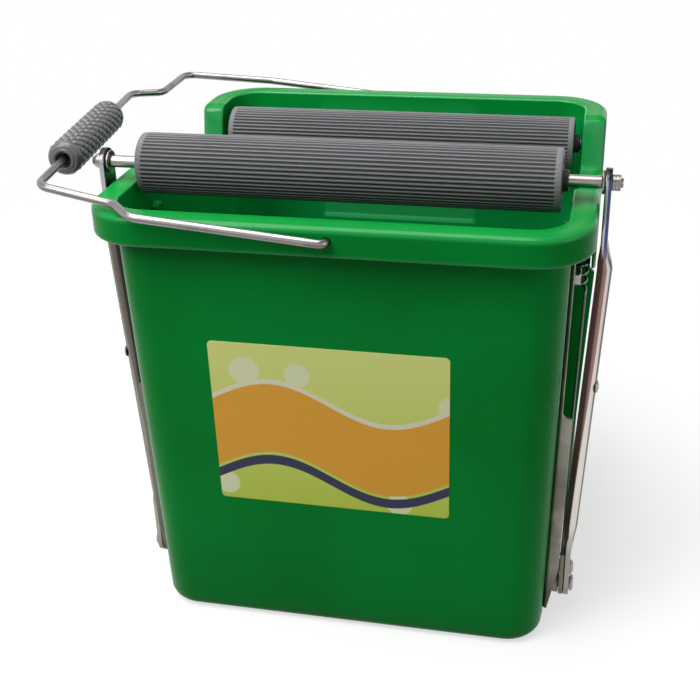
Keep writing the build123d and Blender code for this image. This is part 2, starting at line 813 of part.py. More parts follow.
# Each bend as distance from the pivot axis, place along it and radius
bail_bends = [(rim_width / 2 + out, -rim_depth / 2 - past, bend) for out, past, bend in bail_front_bends]
bail_bends += [(rim_width / 2 + out, rim_depth / 2 + past, bend) for out, past, bend in bail_back_bends]
with BuildPart() as bail:
    with BuildLine(bail_plane) as bail_path:
        FilletPolyline(
            (0, bail_tail - rim_depth / 2),
            (0, -bail_y),
            *[(s, y) for s, y, bend in bail_bends],
            (0, bail_y),
            (0, rim_depth / 2 - bail_tail),
            radius=(bail_hook, *[bend for s, y, bend in bail_bends], bail_hook),
        )
    with BuildSketch(Plane(origin=bail_path.line @ 0, z_dir=bail_path.line % 0)):
        Circle(bail_radius)
    sweep(path=bail_path.line)

# Grip that turns on the straight of the bail
near, far = bail_bends[2], bail_bends[3]
share = (grip_y - near[1]) / (far[1] - near[1])
grip_centre = bail_plane.from_local_coords(Vector(near[0] + share * (far[0] - near[0]), grip_y, 0))
grip_axis = bail_plane.from_local_coords(Vector(far[0], far[1], 0)) - bail_plane.from_local_coords(
    Vector(near[0], near[1], 0)
)
with BuildPart() as grip:
    with BuildSketch(Plane(origin=grip_centre, z_dir=grip_axis)):
        Circle(grip_diameter / 2)
        Circle(bail_radius + running, mode=Mode.SUBTRACT)
    extrude(amount=grip_length / 2, both=True)
    for end in grip.faces().filter_by(GeomType.PLANE):
        fillet(end.outer_wire().edges(), grip_round)
    for way in sides:
        mouth = grip_centre + grip_axis.normalized() * (way * (grip_length / 2 - grip_mouth_depth))
        with BuildSketch(Plane(origin=mouth, z_dir=grip_axis * way)):
            Circle(grip_mouth / 2)
        extrude(amount=2 * grip_mouth_depth, mode=Mode.SUBTRACT)

# Blank printed label on the front wall
with BuildPart() as front_label:
    tip_in = atan2(end_taper, 1)
    with BuildSketch(
        Plane(
            origin=(label_x, -wall_y(label_z) - seat, label_z),
            x_dir=(1, 0, 0),
            z_dir=(0, -cos(tip_in), -sin(tip_in)),
        )
    ):
        RectangleRounded(label_width, label_height, label_corner)
    extrude(amount=label_film)

pieces = {
    "bucket_body": bucket_body,
    "front_roller": front_roller,
    "rear_roller": rear_roller,
    "front_roller_caps": front_roller_caps,
    "rear_roller_caps": rear_roller_caps,
    "front_axle": front_axle,
    "rear_axle": rear_axle,
    "axle_washers_front": axle_washers_front,
    "axle_washers_rear": axle_washers_rear,
    "axle_nuts_front": axle_nuts_front,
    "axle_nuts_rear": axle_nuts_rear,
    "arm_right": arm_right,
    "arm_left": arm_left,
    "arm_rivets": arm_rivets,
    "pedal_frame": pedal_frame,
    "frame_rivets": frame_rivets,
    "pedal_tread": pedal_tread,
    "tread_rivets": tread_rivets,
    "pivot_rod": pivot_rod,
    "pivot_sleeves": pivot_sleeves,
    "pivot_caps": pivot_caps,
    "side_plate_right": side_plate_right,
    "side_plate_left": side_plate_left,
    "plate_bolts": plate_bolts,
    "spring_studs": spring_studs,
    "inner_nuts": inner_nuts,
    "return_spring_right": return_spring_right,
    "return_spring_left": return_spring_left,
    "bail": bail,
    "grip": grip,
    "front_label": front_label,
}
for label, builder in pieces.items():
    builder.part.label = label
    export_step(builder.part, f"parts/{label}.step")
    size = builder.part.bounding_box().size
    count = len(builder.part.solids())
    print(label, count, f"{size.X:.1f} x {size.Y:.1f} x {size.Z:.1f}", builder.part.is_valid)
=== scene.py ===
import math

import bmesh
import bpy
import numpy as np
from mathutils import Matrix, Vector


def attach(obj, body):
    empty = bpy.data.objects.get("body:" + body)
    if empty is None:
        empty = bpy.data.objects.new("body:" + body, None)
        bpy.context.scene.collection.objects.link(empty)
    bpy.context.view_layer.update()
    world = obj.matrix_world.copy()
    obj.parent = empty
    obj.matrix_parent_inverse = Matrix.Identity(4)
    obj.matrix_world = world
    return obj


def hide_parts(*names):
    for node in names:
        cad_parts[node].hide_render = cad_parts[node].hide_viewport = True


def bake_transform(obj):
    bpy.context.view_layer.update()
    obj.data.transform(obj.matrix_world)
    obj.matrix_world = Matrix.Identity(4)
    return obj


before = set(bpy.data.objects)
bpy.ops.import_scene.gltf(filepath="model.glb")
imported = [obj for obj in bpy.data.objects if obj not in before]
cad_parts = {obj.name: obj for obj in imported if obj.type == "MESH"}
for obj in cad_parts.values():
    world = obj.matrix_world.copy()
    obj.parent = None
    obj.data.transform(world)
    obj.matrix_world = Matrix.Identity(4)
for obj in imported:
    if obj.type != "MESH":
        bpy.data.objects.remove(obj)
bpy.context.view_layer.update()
mm = 0.001
xAxis = (1, 0, 0)
print("frame loaded:", len(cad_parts), "nodes")


# shader sockets and looks

class Sock:
    def __init__(self, look, socket):
        self.look = look
        self.socket = socket

    def math(self, kind, *values, clamp=False):
        settings = {"operation": kind, "use_clamp": clamp}
        return self.look.node("ShaderNodeMath", settings, dict(enumerate(values)))

    def __add__(self, other):
        return self.math("ADD", self, other)

    def __radd__(self, other):
        return self.math("ADD", other, self)

    def __sub__(self, other):
        return self.math("SUBTRACT", self, other)

    def __rsub__(self, other):
        return self.math("SUBTRACT", other, self)

    def __mul__(self, other):
        return self.math("MULTIPLY", self, other)

    def __rmul__(self, other):
        return self.math("MULTIPLY", other, self)

    def __truediv__(self, other):
        return self.math("DIVIDE", self, other)

    def __rtruediv__(self, other):
        return self.math("DIVIDE", other, self)

    def __abs__(self):
        return self.math("ABSOLUTE", self)

    def held(self):
        return self.math("ADD", self, 0.0, clamp=True)

    def sine(self):
        return self.math("SINE", self)

    def sign(self):
        return self.math("SIGN", self)

    def most(self, other):
        return self.math("MAXIMUM", self, other)

    def between(self, low, high):  # smooth step from 0 at low to 1 at high
        return self.look.node("ShaderNodeMapRange", {"interpolation_type": "SMOOTHSTEP"},
                              {"Value": self, "From Min": low, "From Max": high})

    def inBand(self, rise, fall):  # 1 between two smooth steps
        return self.between(*rise) * (1 - self.between(*fall))


class Look:
    def __init__(self, owner):
        owner.use_nodes = True
        self.owner = owner
        self.tree = owner.node_tree
        self.shader = self.tree.nodes.get("Principled BSDF")

    def node(self, kind, settings=None, sockets=None, out=0):
        made = self.tree.nodes.new(kind)
        for name, value in (settings or {}).items():
            setattr(made, name, value)
        for name, value in (sockets or {}).items():
            self.feed(made.inputs[name], value)
        return Sock(self, made.outputs[out])

    def feed(self, socket, value):
        if isinstance(value, Sock):
            self.tree.links.new(value.socket, socket)
        elif isinstance(value, tuple) and len(value) == 3 and socket.type == "RGBA":
            socket.default_value = (*value, 1)
        else:
            socket.default_value = value

    def surface(self, **values):
        for name, value in values.items():
            self.feed(self.shader.inputs[name.replace("_", " ")], value)

    def place(self):
        return self.node("ShaderNodeTexCoord", out="Object")

    def stretched(self, scale, turn=(0.0, 0.0, 0.0)):
        return self.node("ShaderNodeMapping", None,
                         {"Vector": self.place(), "Scale": scale, "Rotation": turn})

    def noise(self, scale, detail=3.0, rough=0.5, at=None):
        return self.node("ShaderNodeTexNoise", None, {"Vector": at or self.place(), "Scale": scale,
                                                      "Detail": detail, "Roughness": rough})

    def cells(self, scale, out="Distance"):
        return self.node("ShaderNodeTexVoronoi", None, {"Vector": self.place(), "Scale": scale}, out)

    def value(self, name):  # a named value that the mesh code wrote on the points
        return self.node("ShaderNodeAttribute", {"attribute_name": name}, out="Fac")

    def parts(self, vector):
        outs = self.node("ShaderNodeSeparateXYZ", None, {0: vector}).socket.node.outputs
        return [Sock(self, outs[i]) for i in range(3)]

    def facing(self):  # the surface's own direction in the object's axes
        return self.parts(self.node("ShaderNodeTexCoord", out="Normal"))

    def mix(self, first, second, share):
        return self.node("ShaderNodeMix", {"data_type": "RGBA"}, {0: share, 6: first, 7: second}, 2)

    def grey(self, level):
        return self.node("ShaderNodeCombineColor", None, {0: level, 1: level, 2: level})

    def shown(self):  # 1 where a ray shows the backdrop itself, to the eye or in a gloss
        rays = self.node("ShaderNodeLightPath").socket.node.outputs
        eye, gloss, through = (Sock(self, rays[f"Is {kind} Ray"])
                               for kind in ("Camera", "Glossy", "Transmission"))
        return eye.most(gloss).most(through)

    def bump(self, height, strength, distance, below=None):
        sockets = {"Height": height, "Strength": strength, "Distance": distance}
        if below is not None:
            sockets["Normal"] = below
        return self.node("ShaderNodeBump", None, sockets)


def newLook(name):
    return Look(bpy.data.materials.new(name))


# mesh helpers, in millimetres

class Shape:
    def __init__(self):
        self.points = []
        self.faces = []
        self.values = {}

    def add(self, points, **values):
        start = len(self.points)
        self.points.extend(tuple(float(c) for c in p) for p in points)
        for name, row in values.items():
            held = self.values.setdefault(name, {})
            held.update({start + i: float(v) for i, v in enumerate(row)})
        return start

    def skin(self, rows, around=True, capped=True, loop=False, **values):
        # rows of points joined row to row; a face closes each end, or the last row joins the first
        count = len(rows[0])
        starts = []
        for k, row in enumerate(rows):
            starts.append(self.add(row, **{name: given[k] for name, given in values.items()}))
        pairs = list(zip(starts, starts[1:]))
        if loop:
            pairs.append((starts[-1], starts[0]))
        for low, high in pairs:
            for i in range(count if around else count - 1):
                j = (i + 1) % count
                self.faces.append((low + i, low + j, high + j, high + i))
        if around and capped and not loop:
            self.faces.append(tuple(starts[0] + i for i in reversed(range(count))))
            self.faces.append(tuple(starts[-1] + i for i in range(count)))
        return self

    def mirrored(self):
        other = Shape()
        other.points = [(-x, y, z) for x, y, z in self.points]
        other.faces = [tuple(reversed(face)) for face in self.faces]
        other.values = {name: dict(held) for name, held in self.values.items()}
        return other

    def join(self, other):
        start = len(self.points)
        self.points += other.points
        self.faces += [tuple(start + i for i in face) for face in other.faces]
        for name, held in other.values.items():
            mine = self.values.setdefault(name, {})
            mine.update({start + i: v for i, v in held.items()})
        return self

    def pair(self):
        return self.join(self.mirrored())


def meshOf(name, shape):
    mesh = bpy.data.meshes.new(name)
    mesh.from_pydata([tuple(c * mm for c in p) for p in shape.points], [], shape.faces)
    for key, held in shape.values.items():
        layer = mesh.attributes.new(key, "FLOAT", "POINT")
        layer.data.foreach_set("value", [held.get(i, 0.0) for i in range(len(shape.points))])
    welded = bmesh.new()
    welded.from_mesh(mesh)
    bmesh.ops.remove_doubles(welded, verts=welded.verts, dist=2e-6)
    bmesh.ops.dissolve_degenerate(welded, edges=welded.edges, dist=1e-6)
    bmesh.ops.recalc_face_normals(welded, faces=welded.faces)
    welded.to_mesh(mesh)
    welded.free()
    return mesh


def newObject(name, shape):
    made = bpy.data.objects.new(name, meshOf(name, shape))
    bpy.context.scene.collection.objects.link(made)
    return made


def carve(target, shape, kind="DIFFERENCE"):
    tool = newObject("tool", shape)
    cut = target.modifiers.new("cut", "BOOLEAN")
    cut.operation = kind
    cut.solver = "EXACT"
    cut.object = tool
    ready = target.evaluated_get(bpy.context.evaluated_depsgraph_get())
    mesh = bpy.data.meshes.new_from_object(ready)
    target.modifiers.clear()
    old = target.data
    target.data = mesh
    bpy.data.meshes.remove(old)
    bpy.data.objects.remove(tool)


def finishPiece(piece, body, look, slot, stands, sharp=32.0):
    mesh = piece.data
    mesh.materials.clear()
    mesh.materials.append(look.owner)
    mesh.shade_smooth()
    mesh.set_sharp_from_angle(angle=math.radians(sharp))
    if body:
        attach(piece, body)
    if stands:
        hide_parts(*stands)
    return piece


def addPiece(name, shape, body, look, slot, stands, sharp=32.0):
    return finishPiece(newObject(name, shape), body, look, slot, stands, sharp)


def turns(start, end, parts):
    # angles from start to end, given in degrees
    return [math.radians(start + (end - start) * k / parts) for k in range(parts + 1)]


def cosSin(degrees):
    return math.cos(math.radians(degrees)), math.sin(math.radians(degrees))


def unit(vector):
    vector = np.array(vector, float)
    return vector / np.linalg.norm(vector)


def rounded(points, radii, steps=6):
    # corners of an open path turned into arcs; points are vectors of two or three numbers
    points = [np.array(p, float) for p in points]
    path = [points[0]]
    for before, at, after, radius in zip(points, points[1:], points[2:], radii):
        a, b = unit(before - at), unit(after - at)
        half = math.acos(np.clip(a @ b, -1, 1)) / 2
        if radius <= 0 or half > 1.57:  # a sharp corner, or hardly a corner at all
            path.append(at)
            continue
        run = radius / math.tan(half)
        middle = at + unit(a + b) * radius / math.sin(half)
        first, last = at + a * run - middle, at + b * run - middle
        sweep = math.pi - 2 * half
        for k in range(steps + 1):
            t = k / steps
            swung = math.sin((1 - t) * sweep) * first + math.sin(t * sweep) * last
            path.append(middle + swung / math.sin(sweep))
    path.append(points[-1])
    return path


def outline(points, radii, steps=5):
    # a closed polygon with rounded corners
    ring = []
    for i, radius in enumerate(radii):
        three = [points[i - 1], points[i], points[(i + 1) % len(points)]]
        ring += rounded(three, [radius], steps)[1:-1]
    return ring


def inset(ring, by):
    # a closed polygon moved inward by a small step
    ring = [np.array(p, float) for p in ring]
    area = sum(p[0] * q[1] - q[0] * p[1] for p, q in zip(ring, ring[1:] + ring[:1])) / 2
    way = 1 if area > 0 else -1
    moved = []
    for i, p in enumerate(ring):
        a, b = unit(p - ring[i - 1]), unit(ring[(i + 1) % len(ring)] - p)
        n = unit([-a[1] - b[1], a[0] + b[0]]) * way
        lean = max(n @ (np.array([-a[1], a[0]]) * way), 0.4)  # keeps sharp corners from running off
        moved.append(p + n * by / lean)
    return moved


def slab(ring, put, low, high, edge):
    # a plate between two heights with softened edges; put turns (u, v, height) into a point
    small, finer = inset(ring, edge), inset(ring, edge * 0.3)
    rows = [(small, low), (finer, low + edge * 0.3), (ring, low + edge),
            (ring, high - edge), (finer, high - edge * 0.3), (small, high)]
    return Shape().skin([[put(u, v, h) for u, v in row] for row, h in rows])


def turner(origin, axis):
    # gives the point some way along an axis, at a radius and an angle from it
    origin, axis = np.array(origin, float), unit(axis)
    side = unit(np.cross(axis, (0, 0, 1) if abs(axis[2]) < 0.9 else (1, 0, 0)))
    other = np.cross(axis, side)

    def at(along, radius, angle):
        return origin + axis * along + (side * math.cos(angle) + other * math.sin(angle)) * radius
    return at


def turned(profile, origin, axis, steps=48, radial=None, ring=False):
    # profile of (along, radius) turned about an axis; a ring's profile is closed on itself
    at = turner(origin, axis)
    rows = [[at(along, radial(angle, along, radius) if radial else radius, angle)
             for angle in turns(0, 360, steps)[:-1]] for along, radius in profile]
    return Shape().skin(rows, loop=ring)


def tube(path, radius, steps, soft=0.35):
    # a round wire along a path with softened ends, and how far along it each point is
    path = [np.array(p, float) for p in path]
    ahead = [unit(q - p) for p, q in zip(path, path[1:])]
    ways = [ahead[0]] + [unit(a + b) for a, b in zip(ahead, ahead[1:])] + [ahead[-1]]
    side = np.cross(ways[0], (0.3, 0.5, 0.81))
    frames = []
    for way in ways:
        side = unit(side - way * (side @ way))
        frames.append((side, np.cross(way, side)))
    taper = [(0.0, 1 - soft), (soft * 0.3, 1 - soft * 0.3), (soft, 1.0)]  # way in, and radius there
    last = len(path) - 1
    rings = [(path[0] + ways[0] * radius * into, 0, share) for into, share in taper]
    rings += [(p, i, 1.0) for i, p in enumerate(path)][1:-1]
    rings += [(path[last] - ways[last] * radius * into, last, share) for into, share in reversed(taper)]
    angles = turns(0, 360, steps)[:-1]
    rows, along, run = [], [], 0.0
    for k, (at, i, share) in enumerate(rings):
        a, b = frames[i]
        if k:
            run += float(np.linalg.norm(at - rings[k - 1][0]))
        rows.append([at + (a * math.cos(t) + b * math.sin(t)) * radius * share for t in angles])
        along.append([run] * steps)
    return Shape().skin(rows, along=along)


def hexRadius(flats):
    def radial(angle, _, radius):
        off = (angle + math.pi / 6) % (math.pi / 3) - math.pi / 6
        return min(flats / 2 / math.cos(off), radius)
    return radial


# camera, floor and light

view = {"at": (0.1517, -0.7387, 0.5323), "target": (-0.0203, 0.0, 0.1455), "roll": -1.77,
        "lens": 60.19, "sensor": 36.0}


def addCamera():
    ahead = (Vector(view["target"]) - Vector(view["at"])).normalized()
    level = ahead.cross(Vector((0, 0, 1))).normalized()
    steep = level.cross(ahead)
    c, s = cosSin(view["roll"])
    right, up = level * c + steep * s, steep * c - level * s
    data = bpy.data.cameras.new("photoCamera")
    data.lens = view["lens"]
    data.sensor_width = view["sensor"]
    camera = bpy.data.objects.new("photoCamera", data)
    axes = Matrix((right, up, -ahead)).transposed().to_4x4()
    camera.matrix_world = Matrix.Translation(view["at"]) @ axes
    bpy.context.scene.collection.objects.link(camera)
    bpy.context.scene.camera = camera


studio = {
    "ambient": 0.17, "ceiling": 0.40, "ceilingBand": (0.30, 0.80),
    "floor": 0.50, "floorLift": 0.62, "floorBounce": 0.20, "floorHalf": 6000.0, "white": (0.30, 0.95),
    "target": (0, 0, 0.15),
    "lamps": {"softBox": ((-0.30, -0.05, 1.55), (1.5, 1.0), 23.0),
              "fill": ((-0.60, -0.66, 1.00), (0.6, 0.6), 6.0),
              "side": ((1.25, -0.40, 0.55), (0.6, 0.6), 2.2)},  # place, size, power
}


def addLamp(name, at, size, power):
    data = bpy.data.lights.new(name, "AREA")
    data.shape = "RECTANGLE"
    data.size, data.size_y = size
    data.energy = power
    lamp = bpy.data.objects.new(name, data)
    turn = (Vector(at) - Vector(studio["target"])).to_track_quat("Z", "Y")
    lamp.matrix_world = Matrix.Translation(at) @ turn.to_matrix().to_4x4()
    bpy.context.scene.collection.objects.link(lamp)


def addBackdrop():
    s = studio
    world = bpy.data.worlds.new("studio")
    bpy.context.scene.world = world
    room = Look(world)
    shown = room.shown()
    high = room.parts(room.node("ShaderNodeTexCoord", out="Generated"))[2]
    white = 1 - (1 - s["ceiling"]) * high.between(*s["ceilingBand"])  # round about, dimmer overhead
    background = room.tree.nodes["Background"]
    room.feed(background.inputs["Color"], (1.0, 1.0, 1.0))
    room.feed(background.inputs["Strength"], s["ambient"] + shown * (white - s["ambient"]))


def addFloor():
    s = studio
    wide = s["floorHalf"]
    rows = [[(-wide, y, 0), (wide, y, 0)] for y in (-wide, wide)]
    floor = newObject("floor", Shape().skin(rows, around=False))
    ground = newLook("paleFloor")
    shown = ground.shown()
    away = ground.node("ShaderNodeVectorMath", {"operation": "LENGTH"}, {0: ground.place()}, "Value")
    white = away.between(*s["white"])  # plain white far from the bucket, its shadow near it
    grey = s["floorBounce"] + shown * (s["floor"] * (1 - white) - s["floorBounce"])
    glow = shown * (s["floorLift"] + (1 - s["floorLift"]) * white)
    ground.surface(Base_Color=ground.grey(grey), Emission_Color=ground.grey(glow),
                   Emission_Strength=1.0, Roughness=0.9, Specular_IOR_Level=0.0)
    floor.data.materials.append(ground.owner)


bpy.context.scene.view_settings.view_transform = "Standard"
addCamera()
addBackdrop()
addFloor()
for lampName, settings in studio["lamps"].items():
    addLamp(lampName, *settings)
print("camera and studio set")


# finishes

def greenPlastic():
    look = newLook("greenPlastic")
    x, y, z = look.parts(look.place())
    cloud = look.noise(9.0, 3.0)
    peel = look.noise(420.0, 2.0)
    grain = look.noise(2600.0, 2.0)
    wave = look.noise(14.0, 1.0)
    upright = look.stretched((1.0, 1.0, 0.12), (0.4, 0.3, 0.0))
    slanting = look.stretched((0.05, 1.0, 1.0), (0.2, 0.5, 0.9))
    scuffs = look.noise(60.0, 4.0, 0.6, upright).between(0.60, 0.74)
    marks = look.noise(220.0, 3.0, 0.6, slanting).between(0.66, 0.74)
    edge, inside = look.value("edge"), look.value("inside")
    colour = look.mix((0.0006, 0.240, 0.030), (0.0010, 0.285, 0.041), cloud.between(0.35, 0.65))
    # the inner surfaces get a lighter copy of the green: painted light
    colour = look.mix(colour, (0.006, 0.41, 0.100), inside * 0.85)
    panel = inside * y.between(0.10, 0.12) * x.inBand((-0.070, -0.066), (0.050, 0.056))
    stepHighlight = z.inBand((0.1975, 0.1985), (0.2015, 0.2025))  # painted highlight of a step across the back wall, with fainter painted light above it
    litAbove = z.between(0.1995, 0.2010)
    # painted highlight and painted light on the inner back wall, where no step is modelled
    colour = look.mix(colour, (0.110, 0.85, 0.330), panel * (stepHighlight * 0.7 + litAbove * 0.25).held())
    # painted sheen on the edges and dip slopes (the edge value), mixed with real scuffs and marks
    sheenAndScuffs = (edge * 0.50 + scuffs * 0.06 + marks * 0.08).held()
    colour = look.mix(colour, (0.030, 0.42, 0.135), sheenAndScuffs)
    dust = (0.02 - z).between(0.0, 0.02) * 0.25
    colour = look.mix(colour, (0.045, 0.20, 0.075), dust)
    rough = 0.25 + cloud * 0.06 + scuffs * 0.10 + marks * 0.12 - edge * 0.04
    soft = look.bump(wave, 0.25, 0.0035)
    soft = look.bump(peel, 0.10, 0.0004, soft)
    soft = look.bump(grain + marks * 0.6, 0.06, 0.00015, soft)
    look.surface(Base_Color=colour, Roughness=rough, Normal=soft, Specular_IOR_Level=0.05,
                 Coat_Weight=(edge * 0.7).held(), Coat_Roughness=0.18)
    return look


def rollerPlastic():
    look = newLook("rollerPlastic")
    crest = look.value("crest")
    cloud = look.noise(24.0, 4.0, 0.55)
    streak = look.noise(60.0, 3.0, 0.6, look.stretched((0.06, 1.0, 1.0)))
    speck = look.noise(900.0, 2.0)
    # flute valleys painted darker than the crests: painted shade
    colour = look.mix((0.038, 0.039, 0.042), (0.190, 0.190, 0.199), crest.between(0.2, 0.95))
    colour = look.mix(colour, (0.245, 0.245, 0.255), streak.between(0.5, 0.75) * crest * 0.5)
    colour = look.mix(colour, (0.100, 0.100, 0.103), cloud.between(0.55, 0.75) * 0.35)
    look.surface(Base_Color=colour, Roughness=0.40 + streak * 0.14 + speck * 0.06,
                 Normal=look.bump(speck, 0.08, 0.0002), Specular_IOR_Level=0.20)
    return look


def gripPlastic():
    look = newLook("gripPlastic")
    crest = look.value("crest")
    cloud = look.noise(70.0, 3.0)
    speck = look.noise(1500.0, 2.0)
    # painted shade between the studs, lighter on the stud tops
    colour = look.mix((0.056, 0.057, 0.061), (0.150, 0.151, 0.158), crest.between(0.05, 0.8))
    colour = look.mix(colour, (0.190, 0.190, 0.196), cloud.between(0.5, 0.7) * crest * 0.5)
    look.surface(Base_Color=colour, Roughness=0.26 + cloud * 0.14,
                 Normal=look.bump(speck, 0.06, 0.0002), Specular_IOR_Level=0.60)
    return look


def capPlastic():
    look = newLook("capPlastic")
    cloud = look.noise(60.0, 3.0)
    speck = look.noise(1800.0, 2.0)
    colour = look.mix((0.020, 0.021, 0.022), (0.036, 0.037, 0.039), cloud.between(0.35, 0.65))
    look.surface(Base_Color=colour, Roughness=0.44 + cloud * 0.12,
                 Normal=look.bump(speck, 0.06, 0.0002), Specular_IOR_Level=0.25)
    return look


def platedSteel():
    look = newLook("platedSteel")
    cloud = look.noise(90.0, 4.0, 0.6)
    fine = look.noise(1400.0, 3.0)
    rust = look.noise(260.0, 4.0, 0.65).between(0.66, 0.72)
    tone = (0.31, 0.285, 0.27)
    dark = tuple(c * 0.62 for c in tone)
    colour = look.mix(tone, dark, cloud.between(0.5, 0.75) * 0.6)
    colour = look.mix(colour, (0.16, 0.075, 0.035), rust * 0.25)
    look.surface(Base_Color=colour, Metallic=1.0, Roughness=0.22 + cloud * 0.16,
                 Normal=look.bump(fine, 0.05, 0.0002))
    return look


def drawnWire(name, tone, linesAndReflectionTone, rough):
    look = newLook(name)
    up = look.facing()[2]
    drawn = look.node("ShaderNodeCombineXYZ", None, {1: look.value("along") * 0.012})
    lines = look.node("ShaderNodeTexNoise", {"noise_dimensions": "2D"},
                      {"Vector": drawn, "Scale": 2.4, "Detail": 3.0})
    cloud = look.noise(40.0, 3.0)
    band = up.inBand((-0.55, -0.30), (0.0, 0.20))  # painted dark reflection along the lower side
    # the real drawn lines and the painted reflection on the lower side share one darker tone
    linesAndReflection = look.mix(tone, linesAndReflectionTone, (band * 0.75 + lines.between(0.52, 0.70) * 0.5).held())
    dark = tuple(c * 0.55 for c in tone)
    colour = look.mix(linesAndReflection, dark, cloud.between(0.58, 0.75) * 0.5)
    look.surface(Base_Color=colour, Metallic=1.0, Roughness=rough + lines * 0.12,
                 Normal=look.bump(lines, 0.08, 0.0002))
    return look


def armSteel():
    look = newLook("armSteel")
    x, _, z = look.parts(look.place())
    away = look.facing()[0] * x.sign()  # 1 where the rod faces away from the bucket
    cloud = look.noise(50.0, 4.0, 0.6, look.stretched((1.0, 1.0, 0.15)))
    fine = look.noise(1200.0, 3.0)
    high = z.between(0.08, 0.22)
    head, foot = z.between(0.258, 0.276), 1 - z.between(0.05, 0.075)
    left = 1 - x.between(-0.01, 0.01)
    # the rod is coloured by which way it faces, as painted reflection: brown towards the bucket, a pale
    # painted highlight band, dark on the far side
    brown = look.mix((0.13, 0.10, 0.085), (0.27, 0.145, 0.13), high)
    first, last = high * 0.48 - 0.16, 0.76 - high * 0.06  # the painted highlight band down the rod
    highlightBand = (away - first).between(-0.06, 0.06) * (1 - (away - last).between(-0.08, 0.08))
    colour = look.mix(brown, (0.10, 0.10, 0.11), (away - last).between(-0.02, 0.12))
    colour = look.mix(colour, (0.60, 0.56, 0.51), highlightBand)
    colour = look.mix(colour, (0.24, 0.16, 0.13), cloud.between(0.52, 0.72) * 0.4)
    colour = look.mix(colour, (0.11, 0.115, 0.10), left * 0.8)  # the left arm is painted darker: painted shade
    colour = look.mix(colour, (0.30, 0.28, 0.25), foot)
    # darker in patches near the bottom
    lowDark = (1 - z.between(0.012, 0.060)) * cloud.between(0.35, 0.60)
    colour = look.mix(colour, (0.05, 0.04, 0.03), lowDark * 0.7)
    # the head's colours are painted reflection and shade: navy on its outer face, dark green-grey on its
    # sides, near black along its top
    faces = look.mix((0.42, 0.42, 0.45), (0.05, 0.06, 0.17), x.between(0.1536, 0.1544))
    faces = look.mix(faces, (0.10, 0.13, 0.11), abs(away).between(0.5, 0.8))
    faces = look.mix(faces, (0.02, 0.02, 0.02), z.between(0.311, 0.316))
    colour = look.mix(colour, faces, head)
    shade = (1 - away.between(-0.25, 0.05)) * (1 - head) * (1 - foot)
    look.surface(Base_Color=colour, Metallic=1 - shade * 0.75, Roughness=0.18 + cloud * 0.14,
                 Normal=look.bump(fine, 0.05, 0.0002))
    return look


def galvanisedSteel():
    look = newLook("galvanisedSteel")
    x, _, z = look.parts(look.place())
    spangle = look.node("ShaderNodeSeparateColor", None, {0: look.cells(75.0, "Color")})
    cloud = look.noise(26.0, 4.0, 0.6)
    fine = look.noise(900.0, 3.0)
    streak = look.noise(120.0, 3.0, 0.6, look.stretched((1.0, 1.0, 0.06)))
    left = 1 - x.between(-0.131, -0.129)
    colour = look.mix((0.265, 0.240, 0.205), (0.325, 0.300, 0.260), spangle.between(0.1, 0.9))
    colour = look.mix(colour, (0.12, 0.095, 0.075), cloud.between(0.48, 0.75) * 0.6)
    colour = look.mix(colour, (0.42, 0.40, 0.36), streak.between(0.55, 0.75) * 0.45)
    colour = look.mix(colour, (0.12, 0.115, 0.10), left * 0.7)  # the left side is painted darker: painted shade
    lowDark = (1 - z.between(0.012, 0.075)) * cloud.between(0.30, 0.58)  # darker in patches low down
    colour = look.mix(colour, (0.045, 0.036, 0.028), lowDark * 0.75)
    look.surface(Base_Color=colour, Metallic=0.80, Roughness=0.40 + streak * 0.14 + cloud * 0.10,
                 Normal=look.bump(fine + streak * 0.5, 0.06, 0.0002))
    return look


green = greenPlastic()
rollerGrey = rollerPlastic()
gripDark = gripPlastic()
capDark = capPlastic()
plated = platedSteel()
bailSteel = drawnWire("bailWire", (0.31, 0.30, 0.295), (0.15, 0.115, 0.11), 0.23)
springSteel = drawnWire("springWire", (0.19, 0.20, 0.18), (0.10, 0.10, 0.09), 0.22)
worn = armSteel()
galvanised = galvanisedSteel()
print("finishes made")


# bucket

bucket = {
    "rim": (150.0, 149.0), "rimCorner": 37.0, "mouth": (137.0, 136.0), "base": (131.0, 128.0),
    "corner": 24.0, "height": 298.0, "lipRound": 4.0, "lip": 16.0, "lipSheet": 3.0, "skirt": 18.0,
    "skirtSheet": 2.6, "wall": 3.0, "baseRound": 9.0, "floor": 4.0, "innerEdge": 1.6,
    "dipFront": -60.0, "dipBack": 90.0, "dipDepth": 38.0, "dipSlope": 0.22, "dipRound": 7.0,
    "leftSlope": 1.9,  # the left dip starts more gently
    "cornerSteps": 9, "acrossSteps": 22, "wallSteps": 13, "tiny": 1e-6,
}
bailHole = {"at": (2.5, 0, 290.0), "radius": 2.9, "reach": 6.0}
pivot = {"at": (0, -82.0, 22.0), "arch": (11.0, 131.2, 2.0), "tunnel": (8.0, 160.0, -5.0)}


def wallHalf(axis, z):
    # half the outer width of the wall at a height
    low, high = bucket["base"][axis], bucket["mouth"][axis]
    return low + (high - low) * z / bucket["height"]


def wallLean(axis):
    return math.atan2(bucket["mouth"][axis] - bucket["base"][axis], bucket["height"])


def wallFlats(z):
    # half the straight runs of the wall between its corners
    return [wallHalf(axis, z) - bucket["corner"] for axis in (0, 1)]


def rimFlats():
    return [half - bucket["rimCorner"] for half in bucket["rim"]]


